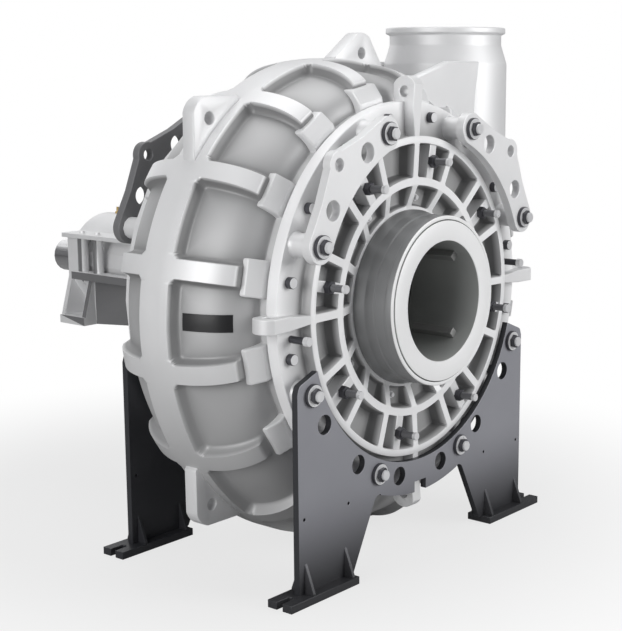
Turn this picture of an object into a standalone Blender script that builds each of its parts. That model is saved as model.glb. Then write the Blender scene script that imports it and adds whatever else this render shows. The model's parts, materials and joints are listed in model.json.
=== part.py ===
"""Large horizontal slurry pump: ribbed volute casing, spoked suction cover with an adjustable
liner, tie plates and legs front and rear, packed gland, and a bearing pedestal on the drive side.

The pump axis runs along +Y and the suction faces -Y. Shapes are modelled from the middle of the
suction face; the pump_frame empty then stands the pump on the floor under its own middle.
"""
import math

import bmesh
import bpy
from mathutils import Matrix, Vector

# Fits
GAP = 0.0003                    # between faces that touch
BOLT_CLEARANCE = 0.002          # round a bolt in a through hole
FLAT_ANGLE = 0.05               # faces this close to one plane, in degrees, are joined
FUSE = 0.006                    # how far a welded or cast-on shape reaches into its carrier

# Casing, as a volute about the pump axis
AXIS_HEIGHT = 1.5386
CASING_FRONT = 0.372            # front machined face, behind the suction face
CASING_MARGIN = 0.081           # from the side of the branch to each machined face
CASING_OPENING_R = 0.900
CASING_FACE_R = 1.104           # outer radius of the rings round both openings
CASING_FACE_T = 0.088
CASING_SIDE_SET = 0.030         # shell shoulder behind the machined face
TONGUE_ANGLE = 50.0
CROWN_R_TONGUE = 1.272          # shell radius just past the tongue
CROWN_STATIONS = ((180.0, 1.403), (270.0, 1.450))      # angle and shell radius on the way round
SHELL_WALL = 0.070
SHELL_POWER = 2.3               # roundness of the shell section
RIB_COUNT = 16
RIB_WIDTH = 0.106
RIB_HEIGHT = 0.065
RIB_FOOT_WIDTH = 0.180          # the rib flares where it meets the face ring
RIB_FOOT_HEIGHT = 0.034
RIB_DRAFT = 0.006
SPINE_WIDTH = 0.200             # rib round the outside, on the middle plane

# Discharge branch
DISCHARGE_X = 1.179
DISCHARGE_BORE_R = 0.325
BRANCH_WALL = 0.080
BRANCH_TOP = 1.350              # where the branch starts to draw in
BRANCH_NECK_WALL = 0.043
BRANCH_NECK_Z = 1.470
DISCHARGE_LIP = 0.026           # rim outside the neck
DISCHARGE_RIM_T = 0.036
DISCHARGE_Z = 1.5814            # rim face above the axis
WEB_T = 0.060                   # webs between branch and volute
WEB_REACH = 0.250
WEB_SPREAD = 0.240

# Lifting lugs on the casing
LUG_ANGLES = (80.0, 135.0, 225.0)
LUG_T = 0.090
LUG_BASE = 0.400
LUG_RISE = 0.205
LUG_TIP_R = 0.085
LUG_HOLE_R = 0.034

# Suction cover
COVER_OVERHANG = 0.030          # flange outside the casing's face ring
COVER_FLANGE_T = 0.102
COVER_RIB_RISE = 0.067          # outer ring and spokes in front of the flange face
COVER_FLOOR_T = 0.040
COVER_RING_R = 0.940
COVER_RING_W = 0.042
MID_RING_R = 0.700
MID_RING_W = 0.045
MID_RING_SET = 0.012
HUB_SET = 0.062                 # spokes slope back to the hub
HUB_RING_W = 0.028
SPOKE_COUNT = 16
SPOKE_WIDTH = 0.045
EAR_T = 0.080
EAR_REACH = 0.056               # ear hole outside the flange
EAR_TIP_R = 0.090
EAR_PIN_R = 0.032

# Suction liner, sleeve and adjusters
SUCTION_R = 0.350
SUCTION_FACE_R = 0.465
SLEEVE_BORE_GAP = 0.005
SLEEVE_WALL = 0.024
SLEEVE_SETBACK = 0.004
SLEEVE_COLLAR = 0.020
LINER_R_GAP = 0.015
LINER_SET = 0.020
LINER_T = 0.130
LINER_TRAVEL = 0.012
GUIDE_BAR = 0.030
GUIDE_BAR_SET = 0.040
ADJUSTER_COUNT = 8
ADJUSTER_START = 33.75
ADJUSTER_RADIUS = 0.800
ADJUSTER_R = 0.022
ADJUSTER_STICK_OUT = 0.125
ADJUSTER_NUT_R = 0.038
ADJUSTER_NUT_T = 0.034
ADJUSTER_BAR = 0.064
ADJUSTER_SEAT = 0.050

# Tie plates and bolts
TIE_EDGE = 0.086                # bolt circle inside the cover flange
TIE_COUNT = 8
TIE_START = 22.5
TIE_BOLT_R = 0.026
TIE_NUT_R = 0.046
TIE_NUT_T = 0.036
TIE_TIP = 0.032
TIE_WASHER_R = 0.064
TIE_WASHER_T = 0.016
TIE_ENGAGEMENT = 0.060
PILLAR_R = 0.064
UPPER_PLATE_T = 0.055
UPPER_PLATE_STANDOFF = 0.118
PLATE_LOBE_R = 0.095
PLATE_APEX_RISE = 0.110         # apex outside the bolt circle
PLATE_APEX_R = 0.075
PLATE_APEX_HOLE_R = 0.035
ACCESS_R = 0.055

# Legs
LEG_T = 0.040
LEG_STANDOFF = 0.061
LEG_OUTER = 1.090
LEG_FOOT_INNER = 0.630
LEG_KNEE_X = 0.420
SADDLE_EDGE = 0.083             # leg plate inside the bolt circle
SADDLE_TOP = 0.276
SHOULDER_DROP = 0.059
SHOULDER_BEVEL = 0.045
BRIDGE_EDGE = 0.117             # leg plate outside the bolt circle
NOTCH_HALF = 0.055
NOTCH_DEPTH = 0.065
FOOT_OUTER = 1.2293
FOOT_INNER = 0.6576
FOOT_DEPTH = 0.173
FOOT_T = 0.045
FOOT_SLOT_W = 0.040
FOOT_SLOT_L = 0.080
GUSSET_H = 0.180
GUSSET_T = 0.020
GUSSET_XS = (0.700, 1.035)

# Wet end inside
IMPELLER_R = 0.820
BACK_ROOM = 0.166               # casing's rear face behind the impeller
IMPELLER_GAP = 0.004
SHROUD_T = 0.060
EYE_R = 0.362
VANE_COUNT = 5
VANE_T = 0.052
VANE_WRAP = 95.0
HUB_R = 0.200
NOSE_LENGTH = 0.420

# Shaft and gland
SHAFT_SEAT_R = 0.100
SHAFT_SEAT_L = 0.280
SHAFT_BODY_R = 0.130
SHAFT_BEARING_R = 0.140
SHAFT_END_R = 0.115
SHAFT_STICK_OUT = 0.455         # shaft end past the pedestal
SLEEVE_R = 0.156
SLEEVE_LENGTH = 0.560
KEY_W = 0.050
KEY_DEPTH = 0.020
KEY_LENGTH = 0.300
BOX_R = 0.255
BOX_BORE_R = 0.200
BOX_THROAT_GAP = 0.006
BOX_FLANGE_R = 0.330
BOX_FLANGE_T = 0.040
BOX_LENGTH = 0.320
PACKING_L = 0.070
LANTERN_L = 0.050
GLAND_NOSE = 0.050
GLAND_FLANGE_T = 0.036
GLAND_FLANGE_R = 0.300
GLAND_TRAVEL = 0.030
GLAND_STUD_R = 0.014
GLAND_STUD_RADIUS = 0.262

# Bearing assembly and pedestal
BEARING_OUTER_R = 0.255
BEARING_W = 0.120
BEARING_RACE = 0.030
ROLLER_COUNT = 12
HOUSING_R = 0.300
HOUSING_SET = 0.636             # bearing housing behind the casing
HOUSING_LENGTH = 0.900
END_COVER_T = 0.045
END_COVER_R = 0.285
LABYRINTH_R = 0.185
LABYRINTH_W = 0.050
LABYRINTH_GAP = 0.003
CRADLE_WALL = 0.036
CRADLE_SET = 0.080              # cap and cradle inside the housing's end
CAP_T = 0.030
CAP_FLANGE_X = 0.400
CAP_SPLIT = 0.195
CAP_BOLT_R = 0.020
CAP_BOLT_XS = 0.360
PILLAR_YS = (0.325, 0.170)
SHELF_X = 0.420
SHELF_T = 0.050
SHELF_TOP = -0.030
RING_T = 0.050
RING_BORE_R = 0.350
RING_R = 0.620
CHEEK_T = 0.036
PEDESTAL_DROP = 0.390
PEDESTAL_FOOT_T = 0.055
PEDESTAL_FOOT_L = 0.250
PEDESTAL_FOOT_IN = 0.170
PEDESTAL_FOOT_X = 0.440
END_FRAME_T = 0.120
END_FRAME_X = 0.350
CAST_BOSS_R = 0.035
NIPPLE_R = 0.012
NIPPLE_H = 0.045

# Radii, then levels along the axis, that follow from the sizes above
BRANCH_R = DISCHARGE_BORE_R + BRANCH_WALL
BRANCH_NECK_R = DISCHARGE_BORE_R + BRANCH_NECK_WALL
DISCHARGE_RIM_R = BRANCH_NECK_R + DISCHARGE_LIP
CASING_WIDTH = 2 * (BRANCH_R + CASING_MARGIN)
CASING_MID = CASING_FRONT + CASING_WIDTH / 2
CASING_REAR = CASING_FRONT + CASING_WIDTH
COVER_FLANGE_R = CASING_FACE_R + COVER_OVERHANG
EAR_HOLE_RADIUS = COVER_FLANGE_R + EAR_REACH
TIE_RADIUS = COVER_FLANGE_R - TIE_EDGE
PLATE_APEX_RADIUS = TIE_RADIUS + PLATE_APEX_RISE
SADDLE_R = TIE_RADIUS - SADDLE_EDGE
BRIDGE_R = TIE_RADIUS + BRIDGE_EDGE
COVER_BACK = CASING_FRONT - GAP
COVER_FACE = COVER_BACK - COVER_FLANGE_T
COVER_FRONT = COVER_FACE - COVER_RIB_RISE
BACK_FACE = CASING_REAR + GAP + COVER_FLANGE_T
LINER_FRONT = CASING_FRONT + LINER_SET
LINER_BACK = LINER_FRONT + LINER_T
IMPELLER_FRONT = LINER_BACK + LINER_TRAVEL + IMPELLER_GAP
IMPELLER_BACK = CASING_REAR - BACK_ROOM
CROWN_R_END = DISCHARGE_X + BRANCH_R
SLEEVE_IN_R = SUCTION_FACE_R + SLEEVE_BORE_GAP
SLEEVE_OUT_R = SLEEVE_IN_R + SLEEVE_WALL
HOUSING_START = CASING_REAR + HOUSING_SET
HOUSING_END = HOUSING_START + HOUSING_LENGTH
CRADLE_START = HOUSING_START + CRADLE_SET
PEDESTAL_END = HOUSING_END + END_COVER_T
SHAFT_END = PEDESTAL_END + SHAFT_STICK_OUT

ROUND = 32                      # sides of a large turned piece
MEDIUM = 20                     # sides of a shaft or a housing
SMALL = 10                      # sides of a nut's washer or a small hole
SHANK = 8                       # sides of an adjuster stud and its holes
BOLT_RING = 12                  # corners of every ring of a tie bolt and of its holes


def clear_scene():
    for old in list(bpy.data.objects):
        bpy.data.objects.remove(old, do_unlink=True)


def finish_material(name, colour, roughness, metallic):
    made = bpy.data.materials.new(name)
    made.use_nodes = True
    shader = made.node_tree.nodes["Principled BSDF"]
    shader.inputs["Base Color"].default_value = (*colour, 1.0)
    shader.inputs["Roughness"].default_value = roughness
    shader.inputs["Metallic"].default_value = metallic
    return made


def arc(cx, cy, radius, start, end, steps):
    """Points on an arc, angles in degrees, both ends included."""
    return [(cx + radius * math.cos(math.radians(start + (end - start) * i / steps)),
             cy + radius * math.sin(math.radians(start + (end - start) * i / steps)))
            for i in range(steps + 1)]


def circle(cx, cy, radius, sides=SMALL):
    return arc(cx, cy, radius, 0, 360, sides)[:-1]


def at_angle(radius, angle):
    return radius * math.cos(math.radians(angle)), radius * math.sin(math.radians(angle))


def clear_of(radius, sides=ROUND):
    """Radius of a many-sided bore whose flats stay clear of a round that turns or seats in it."""
    return (radius + GAP) / math.cos(math.pi / sides)


def temporary(bm):
    """A closed bmesh as an object, its faces turned outwards."""
    bmesh.ops.recalc_face_normals(bm, faces=bm.faces)
    mesh = bpy.data.meshes.new("shape")
    bm.to_mesh(mesh)
    bm.free()
    made = bpy.data.objects.new("shape", mesh)
    bpy.context.scene.collection.objects.link(made)
    return made


def turned(profile, sides=ROUND, axis=(0, 1, 0), centre=(0, 0, 0)):
    """A profile of (radius, height) spun round an axis; a ring if it never reaches the axis."""
    bm = bmesh.new()
    across = Vector((1, 0, 0))
    along = Vector(axis)
    points = [bm.verts.new(Vector(centre) + across * r + along * h) for r, h in profile]
    pairs = list(zip(points, points[1:]))
    if min(r for r, h in profile) > 0:
        pairs.append((points[-1], points[0]))
    edges = [bm.edges.new(pair) for pair in pairs]
    bmesh.ops.spin(bm, geom=points + edges, cent=centre, axis=axis, dvec=(0, 0, 0),
                   angle=2 * math.pi, steps=sides, use_merge=False, use_duplicate=False)
    bmesh.ops.remove_doubles(bm, verts=bm.verts, dist=0.00001)
    return temporary(bm)


def prism(loops, place, depth):
    """Closed loops of (u, v), holes after the outline, set in space by place and extruded."""
    bm = bmesh.new()
    edges = []
    for loop in loops:
        points = [bm.verts.new(place(u, v)) for u, v in loop]
        edges += [bm.edges.new(pair) for pair in zip(points, points[1:] + points[:1])]
    bmesh.ops.triangle_fill(bm, use_beauty=True, edges=edges)
    grown = bmesh.ops.extrude_face_region(bm, geom=bm.faces[:])
    moved = [item for item in grown["geom"] if isinstance(item, bmesh.types.BMVert)]
    bmesh.ops.translate(bm, verts=moved, vec=depth)
    return temporary(bm)


def plate(loops, front, thickness):
    """A plate square to the pump axis, outlined in (x, z)."""
    return prism(loops, lambda x, z: (x, front, z), (0, thickness, 0))


def side_plate(loops, left, thickness):
    """A plate square to X, outlined in (y, z)."""
    return prism(loops, lambda y, z: (left, y, z), (thickness, 0, 0))


def block(low, high):
    (x0, y0, z0), (x1, y1, z1) = low, high
    return prism([[(x0, z0), (x1, z0), (x1, z1), (x0, z1)]],
                 lambda x, z: (x, y0, z), (0, y1 - y0, 0))


def rod(radius, start, end, x=0.0, z=0.0, sides=SMALL):
    return plate([circle(x, z, radius, sides)], start, end - start)


def post(radius, x, y, low, high, sides=SMALL):
    return prism([circle(x, y, radius, sides)], lambda a, b: (a, b, low), (0, 0, high - low))


def swung(shape, angle):
    """Turn a shape about the pump axis, from +X towards +Z."""
    shape.data.transform(Matrix.Rotation(-math.radians(angle), 4, "Y"))
    return shape


def combined(base, tools, operation):
    """Boolean of one shape with a group of others, which it uses up."""
    group = bpy.data.collections.new("tools")
    bpy.context.scene.collection.children.link(group)
    for tool in tools:
        group.objects.link(tool)
    step = base.modifiers.new(operation.lower(), "BOOLEAN")
    step.operation = operation
    step.solver = "EXACT"
    step.operand_type = "COLLECTION"
    step.collection = group
    ready = base.evaluated_get(bpy.context.evaluated_depsgraph_get())
    result = bpy.data.meshes.new_from_object(ready)
    base.modifiers.clear()
    base.data = result
    for tool in list(tools):
        bpy.data.objects.remove(tool, do_unlink=True)
    bpy.data.collections.remove(group)
    return base


def fused(base, *tools):
    return combined(base, tools, "UNION")


def cut(base, *tools):
    return combined(base, tools, "DIFFERENCE")


def named(name, shape, material, parent, smooth=35.0, join_flats=True):
    """Give a finished shape its name, finish, shading and parent."""
    bm = bmesh.new()
    bm.from_mesh(shape.data)
    if join_flats:
        bmesh.ops.remove_doubles(bm, verts=bm.verts, dist=0.00001)
        bmesh.ops.dissolve_degenerate(bm, edges=bm.edges, dist=0.00001)
        bmesh.ops.dissolve_limit(bm, angle_limit=math.radians(FLAT_ANGLE), verts=bm.verts,
                                 edges=bm.edges)
    bm.to_mesh(shape.data)
    bm.free()
    shape.name = name
    shape.data.name = name
    shape.data.materials.clear()
    shape.data.materials.append(material)
    shape.data.shade_smooth()
    shape.data.set_sharp_from_angle(angle=math.radians(smooth))
    shape.parent = parent
    return shape


def copied(name, original, angle=0.0):
    """Another object on the same mesh, turned about the pump axis."""
    made = bpy.data.objects.new(name, original.data)
    bpy.context.scene.collection.objects.link(made)
    made.parent = original.parent
    made.rotation_euler = (0, -math.radians(angle), 0)
    return made


def bolt_shape(sections, x=0.0, z=0.0):
    """A bolt along +Y through rings of (y, radius, hexagon), all with as many corners. A hexagon
    has every second corner drawn in to the middle of a flat."""
    bm = bmesh.new()
    rings = []
    for y, radius, hexagon in sections:
        drawn_in = math.cos(math.pi / 6) if hexagon else 1.0
        ring = []
        for i in range(BOLT_RING):
            a, b = at_angle(radius * (drawn_in if i % 2 else 1.0), 360.0 * i / BOLT_RING)
            ring.append(bm.verts.new((x + a, y, z + b)))
        rings.append(ring)
    for near, far in zip(rings, rings[1:]):
        for i in range(BOLT_RING):
            bm.faces.new((near[i - 1], near[i], far[i], far[i - 1]))
    bm.faces.new(rings[0])
    bm.faces.new(rings[-1])
    return temporary(bm)


def extruded_region(bm, faces):
    """Extrude part of a surface and take away the faces it grew from; gives the new corners."""
    grown = bmesh.ops.extrude_face_region(bm, geom=faces)
    bmesh.ops.delete(bm, geom=[face for face in faces if face.is_valid], context="FACES")
    return [item for item in grown["geom"] if isinstance(item, bmesh.types.BMVert)]


# Volute casing

def crown_radius(angle):
    """Radius of the shell on the middle plane: a spiral that opens from the tongue round to
    the discharge, then falls back to the tongue inside the branch."""
    if angle >= TONGUE_ANGLE:
        stations = ((TONGUE_ANGLE, CROWN_R_TONGUE), *CROWN_STATIONS, (360.0, CROWN_R_END))
        for (start, low), (end, high) in zip(stations, stations[1:]):
            if angle <= end:
                return low + (high - low) * (angle - start) / (end - start)
    share = angle / TONGUE_ANGLE
    fall = share * share * (3 - 2 * share)
    return CROWN_R_END + (CROWN_R_TONGUE - CROWN_R_END) * fall


def section_point(turn, half, low, high):
    """Offset from the middle plane and radius on a half section, a superellipse quarter."""
    power = 2 / SHELL_POWER
    return (half * math.cos(turn) ** power, low + (high - low) * math.sin(turn) ** power)


def volute_rows(half, spine_half, count):
    """Parameters of the section rows, from the shoulder up to the edge of the spine."""
    last = math.acos((spine_half / half) ** (SHELL_POWER / 2))
    return [last * i / count for i in range(count + 1)]


def casing_body():
    """Shell, face rings, ribs and spine as one solid: a grid of section rows by rib edges,
    whose rib and spine cells are extruded outwards."""
    half = CASING_WIDTH / 2 - CASING_SIDE_SET
    turns = volute_rows(half, SPINE_WIDTH / 2, 4)
    pitch = 360.0 / RIB_COUNT
    bm = bmesh.new()
    raised = {}

    def half_rows(angle, lift, foot_lift):
        crown = crown_radius(angle % 360.0) + lift
        rows = [(CASING_WIDTH / 2, CASING_FACE_R + foot_lift),
                (half, CASING_FACE_R + foot_lift)]
        reach = half + lift * 0.35
        rows += [section_point(t, reach, CASING_FACE_R + foot_lift, crown) for t in turns[1:-1]]
        rows.append((SPINE_WIDTH / 2, section_point(turns[-1], half, CASING_FACE_R, crown)[1]
                     if not lift else crown))
        return rows

    def column(angle, side, wide):
        """Both the shell point and the raised point of every row on one line of the grid."""
        low = half_rows(angle, 0.0, 0.0)
        high = half_rows(angle, RIB_HEIGHT, RIB_FOOT_HEIGHT)
        ring = []
        for face in (-1, 1):
            order = range(len(low)) if face < 0 else range(len(low) - 1, -1, -1)
            for i in order:
                spots = []
                for (offset, radius), draft in ((low[i], 0.0), (high[i], RIB_DRAFT)):
                    width = (RIB_FOOT_WIDTH if i < 2 else RIB_WIDTH) / 2 - draft
                    swing = angle + side * math.degrees(width / radius) if side else angle
                    if wide and draft and i == len(low) - 1:
                        offset -= draft
                    x, z = at_angle(radius, swing)
                    spots.append(Vector((x, CASING_MID + face * offset, z)))
                vert = bm.verts.new(spots[0])
                raised[tuple(round(c, 6) for c in spots[0])] = spots[1]
                ring.append(vert)
        return ring

    columns = []
    for k in range(RIB_COUNT):
        centre = pitch * (k + 0.5)
        columns.append(column(centre, -1, True))
        columns.append(column(centre, 1, True))
        columns.append(column(centre + pitch / 2, 0, True))
    count = len(columns[0])
    proud = []
    for c, near in enumerate(columns):
        far = columns[(c + 1) % len(columns)]
        for i in range(count - 1):
            face = bm.faces.new((near[i], far[i], far[i + 1], near[i + 1]))
            if c % 3 == 0 or i == count // 2 - 1:
                proud.append(face)
    for corner in extruded_region(bm, proud):
        corner.co = raised[tuple(round(c, 6) for c in corner.co)]
    bm.faces.new([column_[0] for column_ in columns])
    bm.faces.new([column_[-1] for column_ in columns])
    return temporary(bm)


def casing_cavity():
    """The wetted space of the volute, with both openings run out past the faces."""
    half = CASING_WIDTH / 2 - CASING_FACE_T
    turns = [math.pi / 2 * i / 3 for i in range(4)]
    columns = []
    bm = bmesh.new()
    for k in range(2 * RIB_COUNT):
        angle = 360.0 * k / (2 * RIB_COUNT)
        crown = crown_radius(angle) - SHELL_WALL
        rows = [(CASING_WIDTH / 2 + FUSE, CASING_OPENING_R), (half, CASING_OPENING_R)]
        rows += [section_point(t, half, CASING_OPENING_R + SHELL_WALL, crown) for t in turns]
        rows += [(-offset, radius) for offset, radius in reversed(rows[:-1])]
        columns.append([bm.verts.new((at_angle(r, angle)[0], CASING_MID - o, at_angle(r, angle)[1]))
                        for o, r in rows])
    for c, near in enumerate(columns):
        far = columns[(c + 1) % len(columns)]
        for i in range(len(near) - 1):
            bm.faces.new((near[i], far[i], far[i + 1], near[i + 1]))
    bm.faces.new([column_[0] for column_ in columns])
    bm.faces.new([column_[-1] for column_ in columns])
    return temporary(bm)


def branch_outer():
    """The discharge branch outside: barrel, draw-in, neck and plain clamp rim."""
    rim_low = DISCHARGE_Z - DISCHARGE_RIM_T
    profile = [(0, 0), (BRANCH_R, 0), (BRANCH_R, BRANCH_TOP), (BRANCH_NECK_R, BRANCH_NECK_Z),
               (BRANCH_NECK_R, rim_low), (DISCHARGE_RIM_R, rim_low), (DISCHARGE_RIM_R, DISCHARGE_Z),
               (0, DISCHARGE_Z)]
    return turned(profile, MEDIUM, (0, 0, 1), (DISCHARGE_X, CASING_MID, 0))


def branch_web(side):
    """A web in the corner between the volute and the branch."""
    corner = DISCHARGE_X - BRANCH_R
    root = CROWN_R_TONGUE - SHELL_WALL
    outline = [(corner - WEB_REACH, root), (corner - WEB_REACH, root + SHELL_WALL),
               (corner + BRANCH_R / 2, BRANCH_TOP), (corner + BRANCH_R, BRANCH_TOP),
               (corner + BRANCH_R, root - SHELL_WALL), (corner, root - 3 * SHELL_WALL)]
    return plate([outline], CASING_MID + side * WEB_SPREAD - WEB_T / 2, WEB_T)


def lug_outline(root):
    """A lug standing on the spine: straight flanks to a round tip. u runs along the spine."""
    tip = root + LUG_RISE - LUG_TIP_R
    lean = math.degrees(math.atan2(LUG_BASE / 2 - LUG_TIP_R, tip - root))
    foot = root - SHELL_WALL
    return ([(foot, -LUG_BASE / 2), (root, -LUG_BASE / 2)]
            + arc(tip, 0, LUG_TIP_R, -90 + lean, 90 - lean, 6)
            + [(root, LUG_BASE / 2), (foot, LUG_BASE / 2)])


def volute_casing():
    body = casing_body()
    lugs = []
    for angle in LUG_ANGLES:
        root = crown_radius(angle) + RIB_HEIGHT - FUSE
        hole = circle(root + LUG_RISE - LUG_TIP_R, 0, LUG_HOLE_R)
        lugs.append(swung(plate([lug_outline(root), hole], CASING_MID - LUG_T / 2, LUG_T), angle))
    webs = [branch_web(side) for side in (-1, 1)]
    body = fused(body, branch_outer(), *lugs, *webs)
    bore = turned([(0, 0), (DISCHARGE_BORE_R, 0), (DISCHARGE_BORE_R, DISCHARGE_Z + FUSE),
                   (0, DISCHARGE_Z + FUSE)], MEDIUM, (0, 0, 1), (DISCHARGE_X, CASING_MID, 0))
    body = cut(body, fused(casing_cavity(), bore))
    holes = []
    for angle in tie_angles():
        x, z = at_angle(TIE_RADIUS, angle)
        front_end, rear_end = CASING_FRONT + TIE_ENGAGEMENT, CASING_REAR - TIE_ENGAGEMENT
        holes.append(tie_hole(CASING_FRONT - FUSE, front_end, x, z, angle, GAP))
        holes.append(tie_hole(rear_end, CASING_REAR + FUSE, x, z, angle, GAP))
    return cut(body, *holes)


def tie_hole(start, end, x, z, angle, clearance):
    """A hole for a tie bolt, its facets turned as the bolt's are."""
    radius = TIE_BOLT_R + clearance
    loop = arc(x, z, radius, angle, angle + 360, BOLT_RING)[:-1]
    return plate([loop], start, end - start)


def tie_angles():
    return [TIE_START + 360.0 * k / TIE_COUNT for k in range(TIE_COUNT)]


def is_upper(angle):
    return math.sin(math.radians(angle)) > 0


# Suction cover

def cover_body():
    """Spoked cover: a polar grid with lines on both edges of every spoke, whose pocket cells
    are sunk to the floor. Straight-sided spokes keep their width from hub to rim."""
    hub_r = clear_of(SLEEVE_OUT_R)
    radii = [hub_r, hub_r + HUB_RING_W, MID_RING_R - MID_RING_W, MID_RING_R,
             COVER_RING_R - COVER_RING_W, COVER_RING_R]
    fronts = [COVER_FRONT + HUB_SET, COVER_FRONT + HUB_SET, COVER_FRONT + MID_RING_SET,
              COVER_FRONT + MID_RING_SET, COVER_FRONT, COVER_FRONT]
    pitch = 360.0 / SPOKE_COUNT
    bm = bmesh.new()

    def column(centre, shift):
        points = []
        for radius, y in zip(radii, fronts):
            angle = centre + math.degrees(math.asin(shift / radius))
            x, z = at_angle(radius, angle)
            points.append(bm.verts.new((x, y, z)))
        x, z = at_angle(COVER_RING_R, angle)
        points.append(bm.verts.new((x, COVER_FACE, z)))
        x, z = at_angle(COVER_FLANGE_R, angle)
        points.append(bm.verts.new((x, COVER_FACE, z)))
        points.append(bm.verts.new((x, COVER_BACK, z)))
        x, z = at_angle(hub_r, centre + math.degrees(math.asin(shift / hub_r)))
        points.append(bm.verts.new((x, COVER_BACK, z)))
        return points

    columns = []
    for k in range(SPOKE_COUNT):
        columns.append(column(pitch * k, -SPOKE_WIDTH / 2))
        columns.append(column(pitch * k, SPOKE_WIDTH / 2))
        columns.append(column(pitch * (k + 0.5), 0.0))
    pockets = []
    for c, near in enumerate(columns):
        far = columns[(c + 1) % len(columns)]
        for i in range(len(near)):
            j = (i + 1) % len(near)
            face = bm.faces.new((near[i], far[i], far[j], near[j]))
            if c % 3 != 0 and i in (1, 3):
                pockets.append(face)
    floor = COVER_BACK - COVER_FLOOR_T
    for corner in extruded_region(bm, pockets):
        corner.co.y = floor
    return temporary(bm)


def adjuster_angles():
    return [ADJUSTER_START + 360.0 * k / ADJUSTER_COUNT for k in range(ADJUSTER_COUNT)]


def cover_ear(angle):
    """A pierced ear on the end of a spoke, square to the rim: used to lift the cover off."""
    hole_y = COVER_FACE - GAP
    root = COVER_RING_R - COVER_RING_W / 2
    outline = ([(root, COVER_BACK - COVER_FLOOR_T), (root, COVER_FRONT + FUSE),
                (EAR_HOLE_RADIUS - EAR_TIP_R, COVER_FRONT + FUSE)]
               + arc(EAR_HOLE_RADIUS, hole_y, EAR_TIP_R, -70, 60, 5)
               + [(COVER_FLANGE_R + FUSE, COVER_BACK - FUSE), (COVER_FLANGE_R - FUSE, COVER_BACK - FUSE)])
    hole = circle(EAR_HOLE_RADIUS, hole_y, EAR_PIN_R)
    return swung(prism([outline, hole], lambda r, y: (r, y, -EAR_T / 2), (0, 0, EAR_T)), angle)


def suction_cover():
    body = cover_body()
    added = [cover_ear(angle) for angle in (0, 90, 180, 270)]
    through = []
    for angle in tie_angles():
        x, z = at_angle(TIE_RADIUS, angle)
        standoff = UPPER_PLATE_STANDOFF if is_upper(angle) else LEG_STANDOFF
        added.append(rod(PILLAR_R, COVER_FACE - standoff, COVER_FACE + FUSE, x, z))
        through.append(tie_hole(COVER_FACE - standoff - FUSE, COVER_BACK + FUSE, x, z, angle,
                                BOLT_CLEARANCE))
    for angle in adjuster_angles():
        x, z = at_angle(ADJUSTER_RADIUS, angle)
        bar = block((MID_RING_R - FUSE, COVER_FRONT + MID_RING_SET, -ADJUSTER_BAR / 2),
                    (COVER_RING_R - COVER_RING_W + FUSE, COVER_BACK - FUSE, ADJUSTER_BAR / 2))
        added.append(swung(bar, angle))
        nut = arc(x, z, ADJUSTER_NUT_R, angle, angle + 360, 6)[:-1]
        added.append(plate([nut], COVER_FRONT - ADJUSTER_NUT_T, ADJUSTER_NUT_T + MID_RING_SET + FUSE))
        through.append(rod(ADJUSTER_R + GAP, COVER_FRONT - ADJUSTER_NUT_T - FUSE,
                           COVER_BACK + FUSE, x, z, SHANK))
    return cut(fused(body, *added), *through)


# Suction liner, sleeve and adjusters

def suction_liner():
    """Wear liner: suction face, pipe and side disc in one, with four guide bars in the bore."""
    disc_r = CASING_OPENING_R - LINER_R_GAP
    profile = [(SUCTION_R, 0), (SUCTION_FACE_R, 0), (SUCTION_FACE_R, LINER_FRONT),
               (disc_r, LINER_FRONT), (disc_r, LINER_BACK), (SUCTION_R, LINER_BACK)]
    body = turned(profile)
    bars = []
    for k in range(4):
        reach = SUCTION_R - GUIDE_BAR
        bar = block((reach, GUIDE_BAR_SET, -GUIDE_BAR / 2), (SUCTION_R + FUSE, LINER_FRONT, GUIDE_BAR / 2))
        bars.append(swung(bar, 45 + 90 * k))
    holes = []
    for angle in adjuster_angles():
        x, z = at_angle(ADJUSTER_RADIUS, angle)
        holes.append(rod(ADJUSTER_R + GAP, LINER_FRONT - FUSE, LINER_FRONT + ADJUSTER_SEAT, x, z,
                         SHANK))
    return cut(fused(body, *bars), *holes)


def suction_sleeve():
    """Outer sleeve of the suction neck, seated by its collar on the cover hub."""
    hub_face = COVER_FRONT + HUB_SET - GAP
    shoulder = hub_face - 3 * SLEEVE_COLLAR
    profile = [(SLEEVE_IN_R, SLEEVE_SETBACK), (SLEEVE_OUT_R, SLEEVE_SETBACK),
               (SLEEVE_OUT_R, shoulder), (SLEEVE_OUT_R + SLEEVE_COLLAR, hub_face - SLEEVE_COLLAR),
               (SLEEVE_OUT_R + SLEEVE_COLLAR, hub_face), (SLEEVE_OUT_R, hub_face),
               (SLEEVE_OUT_R, COVER_BACK), (SLEEVE_IN_R, COVER_BACK)]
    return turned(profile)


def adjuster_stud():
    x, z = at_angle(ADJUSTER_RADIUS, ADJUSTER_START)
    return rod(ADJUSTER_R, COVER_FRONT - ADJUSTER_STICK_OUT, LINER_FRONT + ADJUSTER_SEAT - GAP,
               x, z, SHANK)


# Tie plates, tie bolts and legs

def tie_bolt(standoff, plate_t):
    """Stud, nut and washer through a plate, its pillar and the cover into the casing."""
    seat = COVER_FACE - standoff - plate_t - GAP
    nut = seat - TIE_WASHER_T
    top = nut - TIE_NUT_T
    sections = [(top - TIE_TIP, TIE_BOLT_R, False), (top, TIE_BOLT_R, False), (top, TIE_NUT_R, True),
                (nut, TIE_NUT_R, True), (nut, TIE_WASHER_R, False), (seat, TIE_WASHER_R, False),
                (seat, TIE_BOLT_R, False), (CASING_FRONT + TIE_ENGAGEMENT - GAP, TIE_BOLT_R, False)]
    x, z = at_angle(TIE_RADIUS, 0)
    return bolt_shape(sections, x, z)


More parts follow.
